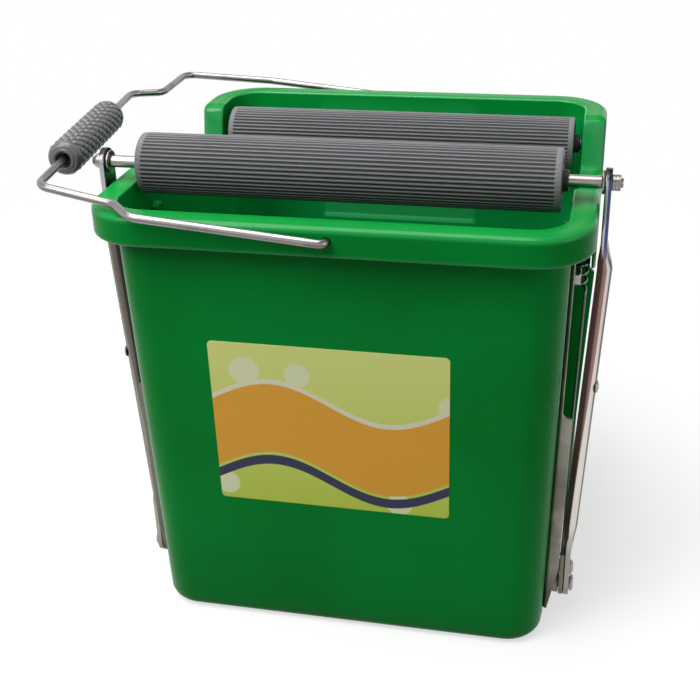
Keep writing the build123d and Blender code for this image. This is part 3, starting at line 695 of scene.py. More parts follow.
def dipCurve(drop, front):
    # border of a side rim seen from the side, front to back, moved into the wall by drop
    b = bucket
    ends, top, back = rimFlats()[1], b["height"] - drop, b["dipSlope"]
    start = b["dipFront"] - math.hypot(1, front) * drop
    end = b["dipBack"] + math.hypot(1, back) * drop
    low = b["dipDepth"] + drop
    tight, wide = max(b["dipRound"] - drop, 0.05), b["dipRound"] + drop
    knots = [(-ends, top), (start + front * drop, top), (start + front * low, b["height"] - low),
             (end - back * low, b["height"] - low), (end - back * drop, top), (ends, top)]
    steps = 7
    arcs = rounded(knots, (tight, wide, wide, tight), steps)
    line = []
    for k, parts in enumerate((6, 4, 18, 4, 5)):  # each straight run, then the arc after it
        first = (steps + 1) * k
        a, c = arcs[first], arcs[first + 1]
        line += [a + (c - a) * i / parts for i in range(1, parts)]
        line += arcs[first + 1:first + steps + 2] if k < 4 else []
    return line


def rimRing(inward, drop):
    # points round the rim, inward of its outer border and below its top
    b = bucket
    (halfX, halfY), (flatX, flatY) = b["rim"], rimFlats()
    top, bendRadius = b["height"] - drop, b["rimCorner"] - inward
    right = [(halfX - inward, *p) for p in dipCurve(drop, b["dipSlope"])]
    left = [(inward - halfX, *p) for p in dipCurve(drop, b["leftSlope"])]
    across = [flatX * (1 - 2 * i / b["acrossSteps"]) for i in range(1, b["acrossSteps"])]

    def bend(x, y, start):
        return [(x + bendRadius * math.cos(a), y + bendRadius * math.sin(a), top)
                for a in turns(start, start + 90, b["cornerSteps"])]
    return (right + bend(flatX, flatY, 0) + [(x, halfY - inward, top) for x in across]
            + bend(-flatX, flatY, 90) + left[::-1] + bend(-flatX, -flatY, 180)
            + [(-x, inward - halfY, top) for x in across] + bend(flatX, -flatY, 270))


def ontoWall(x, y, flats, spans, z, inward):
    # a ring's point carried to the wall at height z; flats part that ring's corners from its runs
    corner, tiny = bucket["corner"], bucket["tiny"]
    reachX, reachY = wallFlats(z)
    out = np.array([abs(x) - flats[0], abs(y) - flats[1]])
    if out.min() > tiny:
        out *= (corner - inward) / np.linalg.norm(out)
        return (math.copysign(reachX + out[0], x), math.copysign(reachY + out[1], y), z)
    if out[0] > tiny:
        return (math.copysign(wallHalf(0, z) - inward, x), y * reachY / spans[1], z)
    return (x * reachX / spans[0], math.copysign(wallHalf(1, z) - inward, y), z)


def wallRing(inward, low, share, drop):
    # points round the wall, a share of the way from height low up to the rim less drop
    tops = rimRing(bucket["lip"] - bucket["wall"], drop)
    return [ontoWall(x, y, rimFlats(), wallFlats(top), low + (top - low) * share, inward)
            for x, y, top in tops]


def flatRing(inward, z):
    # points round the wall at one height, in the same order
    foot = wallFlats(0.0)
    return [ontoWall(x, y, foot, foot, z, inward)
            for x, y, _ in wallRing(0.0, 0.0, 0.0, bucket["lipSheet"])]


def onSlopes(ring, edge, share):
    # the slopes of the dips get the same painted sheen as the edges
    margin, bright = 3.0, 0.9 * share
    drops = [bucket["height"] - z for _, _, z in ring]
    onSlope = [margin < drop < bucket["dipDepth"] - margin for drop in drops]
    return ring, [max(edge, bright) if slope else edge for slope in onSlope]


def bucketShape():
    b = bucket
    lip, sheet, wall, skirt, skirtSheet = (b[k] for k in ("lip", "lipSheet", "wall", "skirt", "skirtSheet"))
    rows, edges, insides = [], [], []

    # edge is how much painted sheen a row gets; inside marks the inner surfaces
    def put(ring, edge=0.0, inside=0.0):
        rows.append(ring)
        edges.append(edge if isinstance(edge, list) else [edge] * len(ring))
        insides.append([inside] * len(ring))
    r, steps = b["baseRound"], b["wallSteps"]
    for a in turns(0, 90, 6):  # foot of the outside
        put(flatRing(r * (1 - math.sin(a)), r * (1 - math.cos(a))))
    for k in range(1, steps):  # outer wall up to the lip
        put(wallRing(0.0, r, k / steps, sheet + 1.0))
    put(wallRing(0.0, r, 1.0, sheet + 1.4))
    for inward in (lip - wall - 1.4, 7.0, skirtSheet + 0.9):  # under the lip
        put(rimRing(inward, sheet))
    half = skirtSheet / 2
    for drop in (sheet + 0.9, 8.0, 13.0, skirt - half):  # inside of the skirt
        put(rimRing(skirtSheet, drop))
    for a in turns(0, 180, 8)[1:-1]:  # rounded foot of the skirt
        put(rimRing(half + half * math.cos(a), skirt - half + half * math.sin(a)), math.sin(a))
    put(rimRing(0.0, skirt - half), 0.35)
    r = b["lipRound"]
    for drop in (skirt - 2.6, 12.0, 8.0, r + 0.8):  # outside of the skirt
        put(rimRing(0.0, drop))
    for a in turns(0, 90, 7):  # outer edge of the lip
        ring = rimRing(r * (1 - math.cos(a)), r * (1 - math.sin(a)))
        put(*onSlopes(ring, math.sin(2 * a) * 0.5, math.sin(a)))
    put(*onSlopes(rimRing(8.0, 0.0), 0.18, 1.0))
    r = b["innerEdge"]
    for a in turns(0, 90, 5):  # inner edge of the lip
        ring = rimRing(lip - r + r * math.sin(a), r * (1 - math.cos(a)))
        put(*onSlopes(ring, math.sin(2 * a), math.cos(a)))
    bowl = b["baseRound"] - wall
    low = b["floor"] + bowl
    for k in range(steps - 1, -1, -1):  # inner wall down to the floor
        share = 0.955 if k == steps - 1 else k / steps
        put(wallRing(wall, low, share, r), 0.0, min(1.0, (steps - k) / 3))
    for a in turns(0, 90, 5)[1:]:
        put(flatRing(wall + bowl * (1 - math.cos(a)), low - bowl * math.sin(a)), 0.0, 1.0)
    return Shape().skin(rows, edge=edges, inside=insides)


def archShape(radius, reach, low):
    # arched bar across the floor over the pivot: half round on top, straight down to low
    _, y, z = pivot["at"]
    ring = [(y + radius * math.cos(a), z + radius * math.sin(a)) for a in turns(0, 180, 16)]
    ring += [(y - radius, low), (y + radius, low)]
    return Shape().skin([[(x, u, v) for u, v in ring] for x in (-reach, reach)])


arm = {"y": -82.0, "footZ": 22.0, "headZ": 309.0, "flat": 8.5, "half": 2.0, "rod": 4.5, "square": 7.0,
       "footX": 145.73, "headX": 154.0, "rodLowX": 146.23, "rodHighX": 155.5, "tip": 0.8,
       "footTop": 50.0, "rodLow": 72.0, "rodHigh": 256.0, "headLow": 274.0}
rib = {"y": -42.0, "thick": 4.0, "low": 55.9, "high": 258.4, "highLeft": 284.0, "straight": 93.0,
       "out": 142.43, "underSkirt": 236.0, "skirtOut": 146.6, "gap": 0.6, "sunk": 1.5, "edge": 0.5}


def ribReach(z):
    # follows the inner side of the arm's rod as it swings past
    run = math.hypot(rib["y"] - arm["y"], z - arm["footZ"])
    share = (run + arm["footZ"] - arm["rodLow"]) / (arm["rodHigh"] - arm["rodLow"])
    rod = arm["rodLowX"] + (arm["rodHighX"] - arm["rodLowX"]) * share
    return max(rib["out"], rod - arm["rod"] - rib["gap"])


def ribShape(high):
    # stop rib on the right wall, up into the skirt
    low, under, slim = rib["low"], rib["underSkirt"], rib["skirtOut"]
    points = [(wallHalf(0, low) - rib["sunk"], low), (rib["out"], low)]
    points += [(ribReach(z), z) for z in np.linspace(rib["straight"], under, 9)]
    points += [(slim, under + 3.0), (slim, high), (wallHalf(0, high) - rib["sunk"], high)]
    radii = [0.0] * len(points)
    radii[1] = 2.0
    near, far = rib["y"] - rib["thick"] / 2, rib["y"] + rib["thick"] / 2
    return slab(outline(points, radii, 4), lambda u, v, h: (u, h, v), near, far, rib["edge"])


def addBucket():
    piece = newObject("bucketShell", bucketShape())
    carve(piece, archShape(*pivot["arch"]), "UNION")
    carve(piece, archShape(*pivot["tunnel"]))
    h = bailHole
    for y in (-bucket["rim"][1], bucket["rim"][1]):
        ends = [(y - h["reach"], h["radius"]), (y + h["reach"], h["radius"])]
        carve(piece, turned(ends, h["at"], (0, 1, 0), 28))
    ribs = newObject("stopRibs", ribShape(rib["high"]).join(ribShape(rib["highLeft"]).mirrored()))
    finishPiece(piece, "bucket", green, "green_plastic", ["bucket_body"], 40.0)
    finishPiece(ribs, "bucket", green, "green_plastic", [], 40.0)


addBucket()
print("bucket made")


# rollers, their plugs, axles, washers and nuts

rollers = {"radius": 18.77, "half": 128.0, "bore": 14.8, "flutes": 44, "depth": 0.62, "band": 3.4}
axle = {"radius": 3.75, "thread": 3.0, "pitch": 1.0, "groove": 0.32, "bore": 3.05,
        "washer": 7.0, "washerThick": 1.6}
rollerSets = {
    "front": {"at": (0, -82.0, 309.0), "carrier": "wringer", "rod": plated, "hub": 3.5,
              "shoulder": 150.4, "tip": 162.4, "washer": 150.4, "nut": 156.0},
    "rear": {"at": (0, 98.0, 276.0), "carrier": "bucket", "rod": galvanised, "hub": 4.2,
             "shoulder": 133.4, "tip": 144.7, "washer": 136.72, "nut": 138.32},
}


def sleeveShape(centre):
    r = rollers
    half, radius = r["half"], r["radius"]
    first = half - r["band"]
    # along, radius and how deep the flutes are there
    stations = [(-half, radius - 0.7, 0), (-half + 0.25, radius - 0.35, 0),
                (-half + 0.8, radius - 0.12, 0), (-first, radius - 0.12, 0),
                (-first + 0.5, radius - 0.06, 0.55), (-first + 1.0, radius, 1.0)]
    ends = [(-x, rad, share) for x, rad, share in reversed(stations)]
    stations += [((first - 1) * (k / 3 - 1), radius, 1.0) for k in range(1, 6)] + ends
    stations = [(-half, r["bore"], 0)] + stations + [(half, r["bore"], 0)]
    at = turner(centre, xAxis)
    rows, crests = [], []
    for x, rad, share in stations:
        row, crest = [], []
        for angle in turns(0, 360, r["flutes"] * 8)[:-1]:
            turn = (angle * r["flutes"] / (2 * math.pi)) % 1.0
            dip = share * max(0.0, 1 - (abs(turn - 0.5) / 0.36) ** 2) ** 0.6
            row.append(at(x, rad - r["depth"] * dip, angle))
            crest.append(1 - dip)
        rows.append(row)
        crests.append(crest)
    return Shape().skin(rows, loop=True, crest=crests)


def plugShape(centre, hub):
    # end plugs: dished disc and a stepped hub round the axle
    end, bore = rollers["half"], 3.85
    tip = end + hub
    line = [(116.0, bore), (116.0, 14.7), (end - 0.6, 14.7), (end - 0.3, 14.4), (end - 0.3, 13.2),
            (end - 1.1, 12.6), (end - 1.1, 10.4), (end - 0.7, 9.7), (end - 0.3, 9.5), (end, 9.0),
            (end + 0.1, 7.0), (end + 0.5, 6.5), (tip - 0.5, 6.4), (tip, 5.9), (tip, 5.2),
            (tip - 0.5, 4.8), (tip - 1.6, 4.7), (tip - 1.6, bore)]
    return turned(line, centre, xAxis, 56, ring=True).pair()


def threaded(start, end):
    radius, pitch = axle["thread"], axle["pitch"]
    steps = int((end - start - 0.6) / pitch * 2)
    line = [(start + k * pitch / 2, radius - k % 2 * axle["groove"]) for k in range(steps + 1)]
    return line + [(end - 0.5, radius - 0.1), (end, radius - 0.6)]


def axleShape(centre, shoulder, tip):
    radius = axle["radius"]
    half = [(0.0, radius), (shoulder - 0.4, radius), (shoulder, radius - 0.4), (shoulder, axle["thread"])]
    half += threaded(shoulder + 0.3, tip)
    other = [(-x, rad) for x, rad in reversed(half)][:-1]
    return turned(other + half, centre, xAxis, 32)


def washerShape(centre, start):
    outer, bore, end = axle["washer"], axle["bore"], start + axle["washerThick"]
    line = [(start, bore), (start, outer - 0.4), (start + 0.3, outer), (end - 0.5, outer),
            (end - 0.12, outer - 0.2), (end, outer - 0.6), (end, bore)]
    return turned(line, centre, xAxis, 40, ring=True).pair()


def axleNutShape(centre, start):
    # round turned nuts: one end of the axle shows it domed, the other with two fine rings
    domed = [(0.0, 4.4), (0.4, 4.8), (2.2, 4.8), (3.2, 4.65), (4.1, 4.2), (4.7, 3.7), (5.0, 3.3)]
    ringed = [(0.0, 4.4), (0.4, 4.8), (1.4, 4.8), (1.6, 4.5), (2.0, 4.5), (2.2, 4.8), (3.4, 4.8),
              (3.6, 4.5), (4.0, 4.5), (4.2, 4.8), (4.6, 4.8), (5.0, 4.3)]

    def nut(line):
        line = [(0.0, axle["bore"])] + line + [(line[-1][0], axle["bore"])]
        return turned([(start + x, rad) for x, rad in line], centre, xAxis, 40, ring=True)
    return nut(ringed).join(nut(domed).mirrored())


def rollerPieces(end, s):
    # what addPiece needs for each piece of one roller
    at, body, carrier, steel = s["at"], f"{end}_roller_set", s["carrier"], "plated_steel"
    plugs, rod = plugShape(at, s["hub"]), axleShape(at, s["shoulder"], s["tip"])
    washers, nuts = washerShape(at, s["washer"]), axleNutShape(at, s["nut"])
    return [
        (f"{end}RollerSleeve", sleeveShape(at), body, rollerGrey, "roller_plastic", [f"{end}_roller"], 50.0),
        (f"{end}RollerPlugs", plugs, body, capDark, "cap_plastic", [f"{end}_roller_caps"]),
        (f"{end}AxleRod", rod, carrier, s["rod"], steel, [f"{end}_axle"]),
        (f"{end}AxleWashers", washers, carrier, plated, steel, [f"axle_washers_{end}"]),
        (f"{end}AxleNuts", nuts, carrier, plated, steel, [f"axle_nuts_{end}"]),
    ]


def addRollers():
    for alike in zip(*(rollerPieces(end, s) for end, s in rollerSets.items())):
        for piece in alike:  # the front one, then the rear one
            addPiece(*piece)


addRollers()
print("rollers made")


# wringer arms and their rivets

pedal = {"tilt": 30.0, "barX": 142.23, "back": 275.05, "bend": 14.5, "thick": 1.5, "half": 8.0,
         "out": 276.55, "treadHalf": 62.0, "depth": 62.0, "sheet": 3.0, "footHalf": 1.45,
         "ridges": 7, "ridgeFrom": 10.0, "ridgeStep": 7.0, "ridge": 1.5, "rivetX": 40.0}
rivet = {"arm": (155.27, -82.0, 176.0), "armRadius": 4.5, "footZ": 35.0, "radius": 5.0, "high": 2.2}


def armShape():
    a = arm
    flat, half, rod, square, tip = a["flat"], a["half"], a["rod"], a["square"], a["tip"]
    low, high = a["rodLowX"], a["rodHighX"]
    blend = [(k / 10, (k / 10) ** 2 * (3 - k / 5)) for k in range(11)]  # even and smooth steps
    # height, middle, half thickness, half width, squareness
    rows = [(a["footZ"] - flat * math.cos(t), a["footX"], half, max(flat * math.sin(t), tip), square)
            for t in turns(0, 90, 8)[1:]]
    rows += [(z, a["footX"], half, flat, square) for z in (30.0, 40.0, 48.0)]
    rows += [(a["footTop"] + (a["rodLow"] - a["footTop"]) * t, a["footX"] + (low - a["footX"]) * t,
              half + (rod - half) * s, flat + (rod - flat) * s, square + (2 - square) * min(1, 1.6 * s))
             for t, s in blend]
    rows += [(a["rodLow"] + (a["rodHigh"] - a["rodLow"]) * k / 24, low + (high - low) * k / 24,
              rod, rod, 2.0) for k in range(1, 24)]
    rows += [(a["rodHigh"] + (a["headLow"] - a["rodHigh"]) * t, high + (a["headX"] - high) * t,
              rod + (half - rod) * s, rod + (flat - rod) * s, 2 + (square - 2) * max(0, 1.6 * s - 0.6))
             for t, s in blend]
    rows += [(z, a["headX"], half, flat, square) for z in (278.0, 288.0, 299.0)]
    rows += [(a["headZ"] + flat * math.sin(t), a["headX"], half, max(flat * math.cos(t), tip), square)
             for t in turns(0, 90, 8)[:-1]]

    def ring(z, x, thick, width, power):
        return [(x + thick * math.copysign(abs(math.cos(t)) ** (2 / power), math.cos(t)),
                 a["y"] + width * math.copysign(abs(math.sin(t)) ** (2 / power), math.sin(t)), z)
                for t in turns(0, 360, 40)[:-1]]
    return Shape().skin([ring(*row) for row in rows])


def domeShape(origin, axis, radius):
    # rivet head: low dome on a short straight edge
    foot, high = 0.25, rivet["high"]
    line = [(-0.3, radius * 0.5), (0.0, radius - 0.15), (foot, radius)]
    line += [(foot + (high - foot) * math.sin(t), radius * (0.12 + 0.88 * math.cos(t)))
             for t in turns(0, 90, 8)[1:-1]]
    return turned(line + [(high, radius * 0.1)], origin, axis, 32)


def addArms():
    addPiece("armRight", armShape(), "wringer", worn, "arm_steel", ["arm_right"])
    addPiece("armLeft", armShape().mirrored(), "wringer", worn, "arm_steel", ["arm_left"])
    heads = domeShape(rivet["arm"], xAxis, rivet["armRadius"]).pair()
    addPiece("armRivetHeads", heads, "wringer", plated, "plated_steel", ["arm_rivets"])
    outer = (arm["footX"] + arm["half"], arm["y"], rivet["footZ"])
    inner = (pedal["barX"] - pedal["thick"], arm["y"], rivet["footZ"])
    feet = domeShape(outer, xAxis, rivet["radius"]).join(domeShape(inner, (-1, 0, 0), rivet["radius"]))
    addPiece("footRivetHeads", feet.pair(), "wringer", plated, "plated_steel", ["frame_rivets"])


addArms()
print("arms made")


# pedal frame and tread

def onFrame(x, along, high):
    c, s = cosSin(pedal["tilt"])
    _, y, z = pivot["at"]
    return (x, y + along * c - high * s, z + along * s + high * c)


def pedalFrameShape():
    p = pedal
    half, thick, barX = p["half"], p["thick"], p["barX"]
    corners = [(barX, 0.0), (barX, p["back"]), (-barX, p["back"]), (-barX, 0.0)]
    line = rounded(corners, (p["bend"], p["bend"]), 12)
    section = outline([(-thick, -half), (thick, -half), (thick, half), (-thick, half)], (0.7,) * 4, 3)
    rows = []
    for i, at in enumerate(line):
        ahead = unit(line[min(i + 1, len(line) - 1)] - line[max(i - 1, 0)])
        across = np.array([-ahead[1], ahead[0]])
        rows.append([onFrame(*(at + across * u), v) for u, v in section])
    shape = Shape().skin(rows)
    _, y, z = pivot["at"]
    wide = arm["flat"]
    foot = [(y + wide * math.cos(a), z + wide * math.sin(a)) for a in turns(180, 360, 15)]
    foot += [(y + wide, arm["footTop"]), (y - wide, arm["footTop"])]
    low, high = barX - p["footHalf"], barX + p["footHalf"]
    return shape.join(slab(foot, lambda u, v, h: (h, u, v), low, high, 0.35).pair())


def ridgeShape(along):
    # pressed grip ridge across the top of the tread
    reach, steps, size = pedal["treadHalf"] - 8.0, 24, pedal["ridge"]
    high = pedal["half"] + pedal["sheet"] - 0.3
    rows = []
    for i in range(steps + 1):
        x = -reach + 2 * reach * i / steps
        full = size * (min(1.0, min(i, steps - i) / 1.5) ** 0.5 if 0 < i < steps else 0.15)
        rows.append([onFrame(x, along + full * math.cos(a), high + full * math.sin(a))
                     for a in turns(0, 180, 9)])
    return Shape().skin(rows)


def treadShape():
    # channel of bent sheet, open at both ends
    p = pedal
    start, sheet, half = p["out"], p["sheet"], p["half"]
    end, low, top = start + p["depth"], -half / 2, half + sheet
    near, far = (start + sheet / 2, -half), (end - sheet / 2, low)  # free edges of the sheet
    outer = rounded([near, (start, -half), (start, top), (end, top), (end, low), far],
                    (0.6, 4.0, 4.0, 0.6), 5)
    inner = rounded([near, (start + sheet, -half), (start + sheet, half), (end - sheet, half),
                     (end - sheet, low), far], (0.6, 1.0, 1.0, 0.6), 5)
    ring, opposite = outer + inner[-2:0:-1], inner + outer[-2:0:-1]
    rows = []
    for x, thin in ((1.0, 0.13), (0.9977, 0.04), (0.9935, 0.0)):  # thinner at the very ends
        rows.append([onFrame(x * p["treadHalf"], *(a + (b - a) * thin)) for a, b in zip(ring, opposite)])
    rows += [[(-x, y, z) for x, y, z in row] for row in reversed(rows)]
    shape = Shape().skin(rows, capped=False)
    count = len(ring)
    for first in (0, (len(rows) - 1) * count):  # the cut ends of the sheet
        for i in range(len(outer) - 1):
            corners = dict.fromkeys(first + k % count for k in (i, i + 1, -i - 1, -i))
            shape.faces.append(tuple(corners))
    for k in range(p["ridges"]):
        shape.join(ridgeShape(start + p["ridgeFrom"] + k * p["ridgeStep"]))
    return shape


def addPedal():
    p, steel = pedal, "galvanised_steel"
    addPiece("pedalFrameBar", pedalFrameShape(), "wringer", galvanised, steel, ["pedal_frame"])
    addPiece("pedalTread", treadShape(), "wringer", galvanised, steel, ["pedal_tread"])
    c, s = cosSin(p["tilt"])
    back = onFrame(p["rivetX"], p["out"] + p["sheet"], 0.0)
    front = onFrame(p["rivetX"], p["out"] - 2 * p["thick"], 0.0)
    heads = domeShape(back, (0, c, s), rivet["radius"]).join(domeShape(front, (0, -c, -s), rivet["radius"]))
    addPiece("treadRivetHeads", heads.pair(), "wringer", plated, "plated_steel", ["tread_rivets"])


addPedal()
print("pedal made")


# pivot, side plates, bolts and studs

plate = {"front": -100.0, "back": -74.0, "foot": 12.0, "top": 268.0, "sheet": 2.0, "corner": 8.0,
         "deep": 8.6, "shallow": 2.6, "deepFrom": 46.0, "step": 161.0, "scallop": 3.9, "bend": 2.4,
         "lift": 0.02}
fixing = {"bolt": (-88.0, 252.0), "stud": (-63.4, 271.5), "flats": 10.0, "inside": -3.06}


def onWall(y, up, out):
    lean, out = wallLean(0), out + plate["lift"]
    c, s = math.cos(lean), math.sin(lean)
    return (bucket["base"][0] + up * s + out * c, y, up * c - out * s)


def flangeDepth(up):
    p = plate
    past = up - p["step"]
    if up <= p["deepFrom"]:
        first = p["sheet"] + 0.8
        return first + (p["deep"] - first) * (up - p["foot"]) / (p["deepFrom"] - p["foot"])
    if past <= -1:
        return p["deep"]
    if past < 0:
        return p["deep"] - 1 + math.sqrt(max(0.0, 1 - (past + 1) ** 2))
    if past < p["scallop"]:
        run = p["scallop"] - past
        return p["shallow"] + p["scallop"] - math.sqrt(max(0.0, p["scallop"] ** 2 - run ** 2))
    return p["shallow"]


def plateBack(up):
    corner, back = plate["corner"], plate["back"]
    near = min(up - plate["foot"], plate["top"] - up)
    if near >= corner:
        return back
    return back - corner + math.sqrt(max(0.0, corner ** 2 - (corner - near) ** 2))


def sidePlateShape():
    p = plate
    front, sheet, bend, step = p["front"], p["sheet"], p["bend"], p["step"]
    nearCorner = (0.0, 0.15, 0.6, 1.3, 2.3, 3.6, 5.2, 8.0)
    ups = [p["foot"] + d for d in nearCorner + (14.0, 22.0)]
    ups += [p["deepFrom"] + d for d in (-1.5, -0.5, 0.0, 0.5, 2.0)]
    ups += [p["deepFrom"] + (step - 1 - p["deepFrom"]) * k / 8 for k in range(1, 8)]
    ups += [step + d for d in (-1.0, -0.6, -0.25, -0.05, 0.0, 0.1, 0.4, 0.9, 1.6, 2.4, 3.2, 3.9)]
    ups += [step + d for d in (6.0, 20.0, 40.0, 60.0, 80.0, 95.0)]
    ups += [p["top"] - d for d in nearCorner]
    rows = []
    for up in sorted(ups):
        deep, back = flangeDepth(up), plateBack(up)
        ring = [(back - 0.3, 0.0), (front + bend, 0.0)]
        ring += [(front + bend * (1 - s), bend * (1 - c)) for c, s in map(cosSin, (22, 45, 68))]
        ring += [(front, min(bend, deep - 0.5)), (front, deep - 0.35), (front + 0.35, deep),
                 (front + sheet - 0.35, deep), (front + sheet, deep - 0.35),
                 (front + sheet, min(sheet + 0.6, deep - 0.4)), (front + sheet + 0.18, sheet + 0.18),
                 (front + sheet + 0.6, sheet), (back - 0.3, sheet), (back, sheet - 0.3), (back, 0.3)]
        rows.append([onWall(y, up, out) for y, out in ring])
    return Shape().skin(rows)


def wallAxis(way):
    return (way * math.cos(wallLean(0)), 0, -way * math.sin(wallLean(0)))


def boltShape():
    # hexagon head with a washer face on the side plate
    flats = fixing["flats"]
    full = flats / 2 / math.cos(math.pi / 6)
    sixSided = hexRadius(flats)
    line = [(-1.0, 3.0), (0.0, 3.0), (0.0, 4.8), (0.3, full + 0.05), (3.2, full + 0.05), (3.8, 5.1),
            (4.0, 4.4)]
    return turned(line, onWall(*fixing["bolt"], plate["sheet"] + plate["lift"]), wallAxis(1), 48,
                  lambda angle, along, radius: radius if along < 0.2 else sixSided(angle, along, radius))


def studShape():
    line = [(-6.5, 2.7), (-6.2, 3.0), (0.0, 3.0), (0.0, 3.8), (0.2, 4.0), (1.3, 4.0), (1.5, 3.8),
            (1.5, 3.0), (10.1, 3.0), (10.6, 2.5)]
    return turned(line, onWall(*fixing["stud"], 0.0), wallAxis(1), 32)


def innerNutShape():
    # closed hexagon nuts inside the wall, over the ends of the bolts and studs
    flats = fixing["flats"]
    full = flats / 2 / math.cos(math.pi / 6)
    line = [(0.0, 4.6), (0.3, full), (3.6, full), (4.3, 5.2), (4.8, 4.4), (5.0, 3.4)]
    shape = Shape()
    for place in ("bolt", "stud"):
        at = onWall(*fixing[place], fixing["inside"])
        shape.join(turned(line, at, wallAxis(-1), 48, hexRadius(flats)))
    return shape


def pivotRodShape():
    end, radius = 149.83, 4.0
    half = [(40.0, radius), (end - 0.6, radius), (end, radius - 0.6)]
    return turned([(-x, rad) for x, rad in reversed(half)] + half, pivot["at"], xAxis, 32)


def pivotSleeveShape():
    low, high, bore, outer = 133.63, 140.43, 4.06, 7.5
    line = [(low, bore), (low, outer - 0.6), (low + 0.6, outer), (low + 2.6, outer),
            (low + 3.0, outer - 0.3), (low + 3.6, outer - 0.3), (low + 4.0, outer),
            (high - 0.6, outer), (high, outer - 0.6), (high, bore)]
    return turned(line, pivot["at"], xAxis, 48, ring=True)


def pivotCapShape():
    low = 148.03
    line = [(0.0, 5.1), (0.25, 5.5), (0.8, 5.6), (1.3, 5.55), (1.9, 5.1), (2.25, 4.4), (2.4, 3.4),
            (2.25, 2.2), (2.2, 0.6)]
    return turned([(low + x, rad) for x, rad in line], pivot["at"], xAxis, 40)


def addPlates():
    zinc, bright, plastic = "galvanised_steel", "plated_steel", "green_plastic"
    for name, shape, look, slot, node in (
            ("sidePlateRight", sidePlateShape(), galvanised, zinc, "side_plate_right"),
            ("sidePlateLeft", sidePlateShape().mirrored(), galvanised, zinc, "side_plate_left"),
            ("plateBoltHeads", boltShape().pair(), plated, bright, "plate_bolts"),
            ("springStuds", studShape().pair(), plated, bright, "spring_studs"),
            ("innerNuts", innerNutShape().pair(), green, plastic, "inner_nuts"),
            ("pivotRod", pivotRodShape(), plated, bright, "pivot_rod"),
            ("pivotSleeves", pivotSleeveShape().pair(), galvanised, zinc, "pivot_sleeves"),
            ("pivotEndCaps", pivotCapShape().pair(), plated, bright, "pivot_caps")):
        addPiece(name, shape, "bucket", look, slot, [node])


addPlates()
print("side plates made")


# return springs

spring = {"hookX": 139.03, "topX": 146.1, "y": -62.2, "hookZ": 31.7, "studZ": 271.5, "wire": 0.9,
          "coil": 3.6, "turns": 5, "pitch": 6.0, "bend": 3.0, "rise": 8.5, "loop": 4.2, "tail": 6.5,
          "blendFrom": 0.060, "blendTo": 0.036}


def springPath():
    # drawn along the leaning leg, from where it enters the bar up to the stud
    s = spring
    bend, coil, loop = s["bend"], s["coil"], s["loop"]
    run, climb = s["topX"] - s["hookX"], s["studZ"] - s["hookZ"]
    lean, top = math.atan2(run, climb), math.hypot(run, climb)
    high = top - s["rise"]
    low = high - s["turns"] * s["pitch"]
    path = rounded([(s["tail"], -bend, 0.0), (0.0, -bend, 0.0), (0.0, -bend, 40.0)], (bend,), 6)[:-1]
    path += [(0.0, -bend, z) for z in (6.0, 12.0, 18.0, 24.0, 30.0, 38.0, 58.0, 88.0, 118.0, 148.0,
                                       178.0, low - bend)]
    path += [(0.0, -bend * math.cos(a), low - bend + bend * math.sin(a)) for a in turns(0, 90, 5)[1:-1]]
    each = 24
    for k, a in enumerate(turns(0, 360 * s["turns"], each * s["turns"])):
        path.append((coil * (math.cos(a) - 1), coil * math.sin(a), low + s["pitch"] * k / each))
    path += [(0.0, bend * math.sin(a), high + bend * (1 - math.cos(a))) for a in turns(0, 90, 5)[1:]]
    path += [(0.0, bend - loop + loop * math.cos(a), top + loop * math.sin(a))
             for a in turns(0, 180, 12)]
    c, t = math.cos(lean), math.sin(lean)
    return [(s["hookX"] + x * c + z * t, s["y"] + y, s["hookZ"] - x * t + z * c) for x, y, z in path]


def addSprings():
    s = spring
    shape = tube(springPath(), s["wire"], 12)
    for name, made, node in (("springRight", shape, "return_spring_right"),
                             ("springLeft", shape.mirrored(), "return_spring_left")):
        piece = finishPiece(newObject(name, made), None, springSteel, "spring_steel", [node])
        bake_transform(piece)


addSprings()
print("springs made")


# carrying bail and its grip

bail = {"angle": 5.6, "wire": 2.59, "piece": 8.0,
        "bends": ((0, -139), (0, -153.5), (113.5, -155.5), (129, -140), (182, -129), (202.5, 72.5),
                  (182.5, 85.5), (183.5, 140.5), (116, 153.5), (0, 153.5), (0, 139)),
        "radii": (4.5, 14, 14, 12, 12, 10, 10, 14, 4.5)}
grip = {"centre": (-188.453, -32.0, 308.723), "axis": (-0.100731, 0.994865, 0.009877),
        "radius": 11.5, "half": 51.0, "collar": 6.0, "mouth": 5.0, "mouthDeep": 9.0, "gap": 0.06,
        "studRows": 11, "studsRound": 10, "studHigh": 1.1, "studHalf": (0.30, 0.40), "plain": 0.55}


def onBail(out, y):
    c, s = cosSin(bail["angle"])
    x, _, z = bailHole["at"]
    return (x - out * c, y, z + out * s)


def studHeight(u, v):
    # two staggered sets of rounded studs, one in each unit square
    high = 0.0
    for shift in (0.0, 0.5):
        du, dv = (abs((at + shift) % 1.0 - 0.5) / half for at, half in zip((u, v), grip["studHalf"]))
        high = max(high, max(0.0, 1 - du ** 1.6 - dv ** 1.6) ** 0.6)
    return high


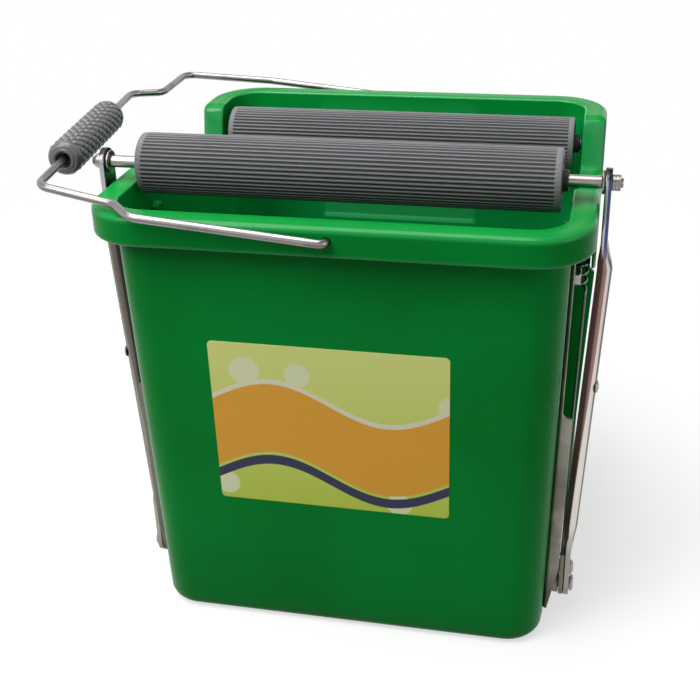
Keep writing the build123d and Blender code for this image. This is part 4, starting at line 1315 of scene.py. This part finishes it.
def gripShape():
    g = grip
    base = g["radius"] - g["studHigh"]
    half, collar, mouth = g["half"], g["collar"], g["mouth"]
    # raised ring round the mouth, a groove, then the rounded end
    end = [(0.7, mouth), (0.15, mouth + 0.5), (0.0, mouth + 1.2), (0.2, mouth + 1.9),
           (0.9, mouth + 2.3), (1.0, mouth + 2.7), (1.1, 8.3), (1.7, 9.3), (2.8, 10.3), (4.2, 10.9),
           (collar - 0.5, 11.0), (collar, base + 0.1)]
    deep, bore = half - g["mouthDeep"], bail["wire"] + g["gap"]
    first = [(-deep, bore, False), (-deep, mouth, False)] + [(x - half, r, False) for x, r in end]
    span, count = 2 * (half - collar - 0.4), g["studRows"] * 12
    rows = first + [(-span / 2 + span * k / count, base, True) for k in range(count + 1)]
    rows += [(-x, r, studded) for x, r, studded in reversed(first)]
    at = turner(g["centre"], g["axis"])
    angles = turns(0, 360, g["studsRound"] * 16)[:-1]
    rings, crests = [], []
    for x, r, studded in rows:
        highs = [0.0] * len(angles)
        if studded:
            u = (x + span / 2) / span * g["studRows"]
            highs = [studHeight(u, k / len(angles) * g["studsRound"]) for k in range(len(angles))]
        rings.append([at(x, r + g["studHigh"] * high, a) for a, high in zip(angles, highs)])
        crests.append(highs if studded else [g["plain"]] * len(angles))
    return Shape().skin(rings, loop=True, crest=crests)


def addBail():
    path = rounded([onBail(*at) for at in bail["bends"]], bail["radii"], 10)
    finer = []
    for p, q in zip(path, path[1:]):
        parts = max(1, int(np.linalg.norm(q - p) / bail["piece"]))
        finer += [p + (q - p) * k / parts for k in range(parts)]
    wire = tube(finer + [path[-1]], bail["wire"], 20)
    addPiece("bailWire", wire, "bail_wire", bailSteel, "bail_wire", ["bail"])
    addPiece("bailGrip", gripShape(), "grip_sleeve", gripDark, "grip_plastic", ["grip"], 40.0)


addBail()
print("bail made")


# label film on the front wall, with a plain pattern of its own

label = {"half": (75.0, 58.0), "x": -4.0, "z": 157.0, "corner": 3.0, "film": 0.3, "edge": 0.08,
         "lift": 0.02}


def labelShape():
    lean, film, edge = wallLean(1), label["film"], label["edge"]
    c, s = math.cos(lean), math.sin(lean)
    width, height = label["half"]
    y = -wallHalf(1, label["z"]) - label["lift"]
    corners = [(-width, -height), (width, -height), (width, height), (-width, height)]
    ring = outline(corners, (label["corner"],) * 4, 6)
    rows = [(ring, 0.0), (ring, film - edge), (inset(ring, edge), film)]
    return Shape().skin([[(label["x"] + u, y - h * c - v * s, label["z"] + v * c - h * s)
                          for u, v in row] for row, h in rows])


def labelFilm():
    look = newLook("labelFilm")
    x, _, z = look.parts(look.place())
    u = (x * (1 / mm) - label["x"]) / label["half"][0]
    v = (z * (1 / mm) - label["z"]) / label["half"][1]
    colour = look.mix((0.60, 0.74, 0.07), (0.86, 0.92, 0.28), (v * 0.5 + 0.5).held())
    colour = look.mix(colour, (0.90, 0.94, 0.58), 1 - look.cells(26.0).between(0.24, 0.27))
    wave = v + 0.22 * (u * 3.2).sine()
    for tint, low, high in (((0.92, 0.44, 0.03), -0.56, 0.30), ((0.94, 0.90, 0.66), 0.30, 0.36),
                            ((0.006, 0.010, 0.060), -0.72, -0.60)):
        colour = look.mix(colour, tint, wave.inBand((low, low + 0.01), (high, high + 0.01)))
    look.surface(Base_Color=colour, Roughness=0.30, Specular_IOR_Level=0.35)
    return look


addPiece("frontLabel", labelShape(), "bucket", labelFilm(), "label_film", ["front_label"])
print("label made")
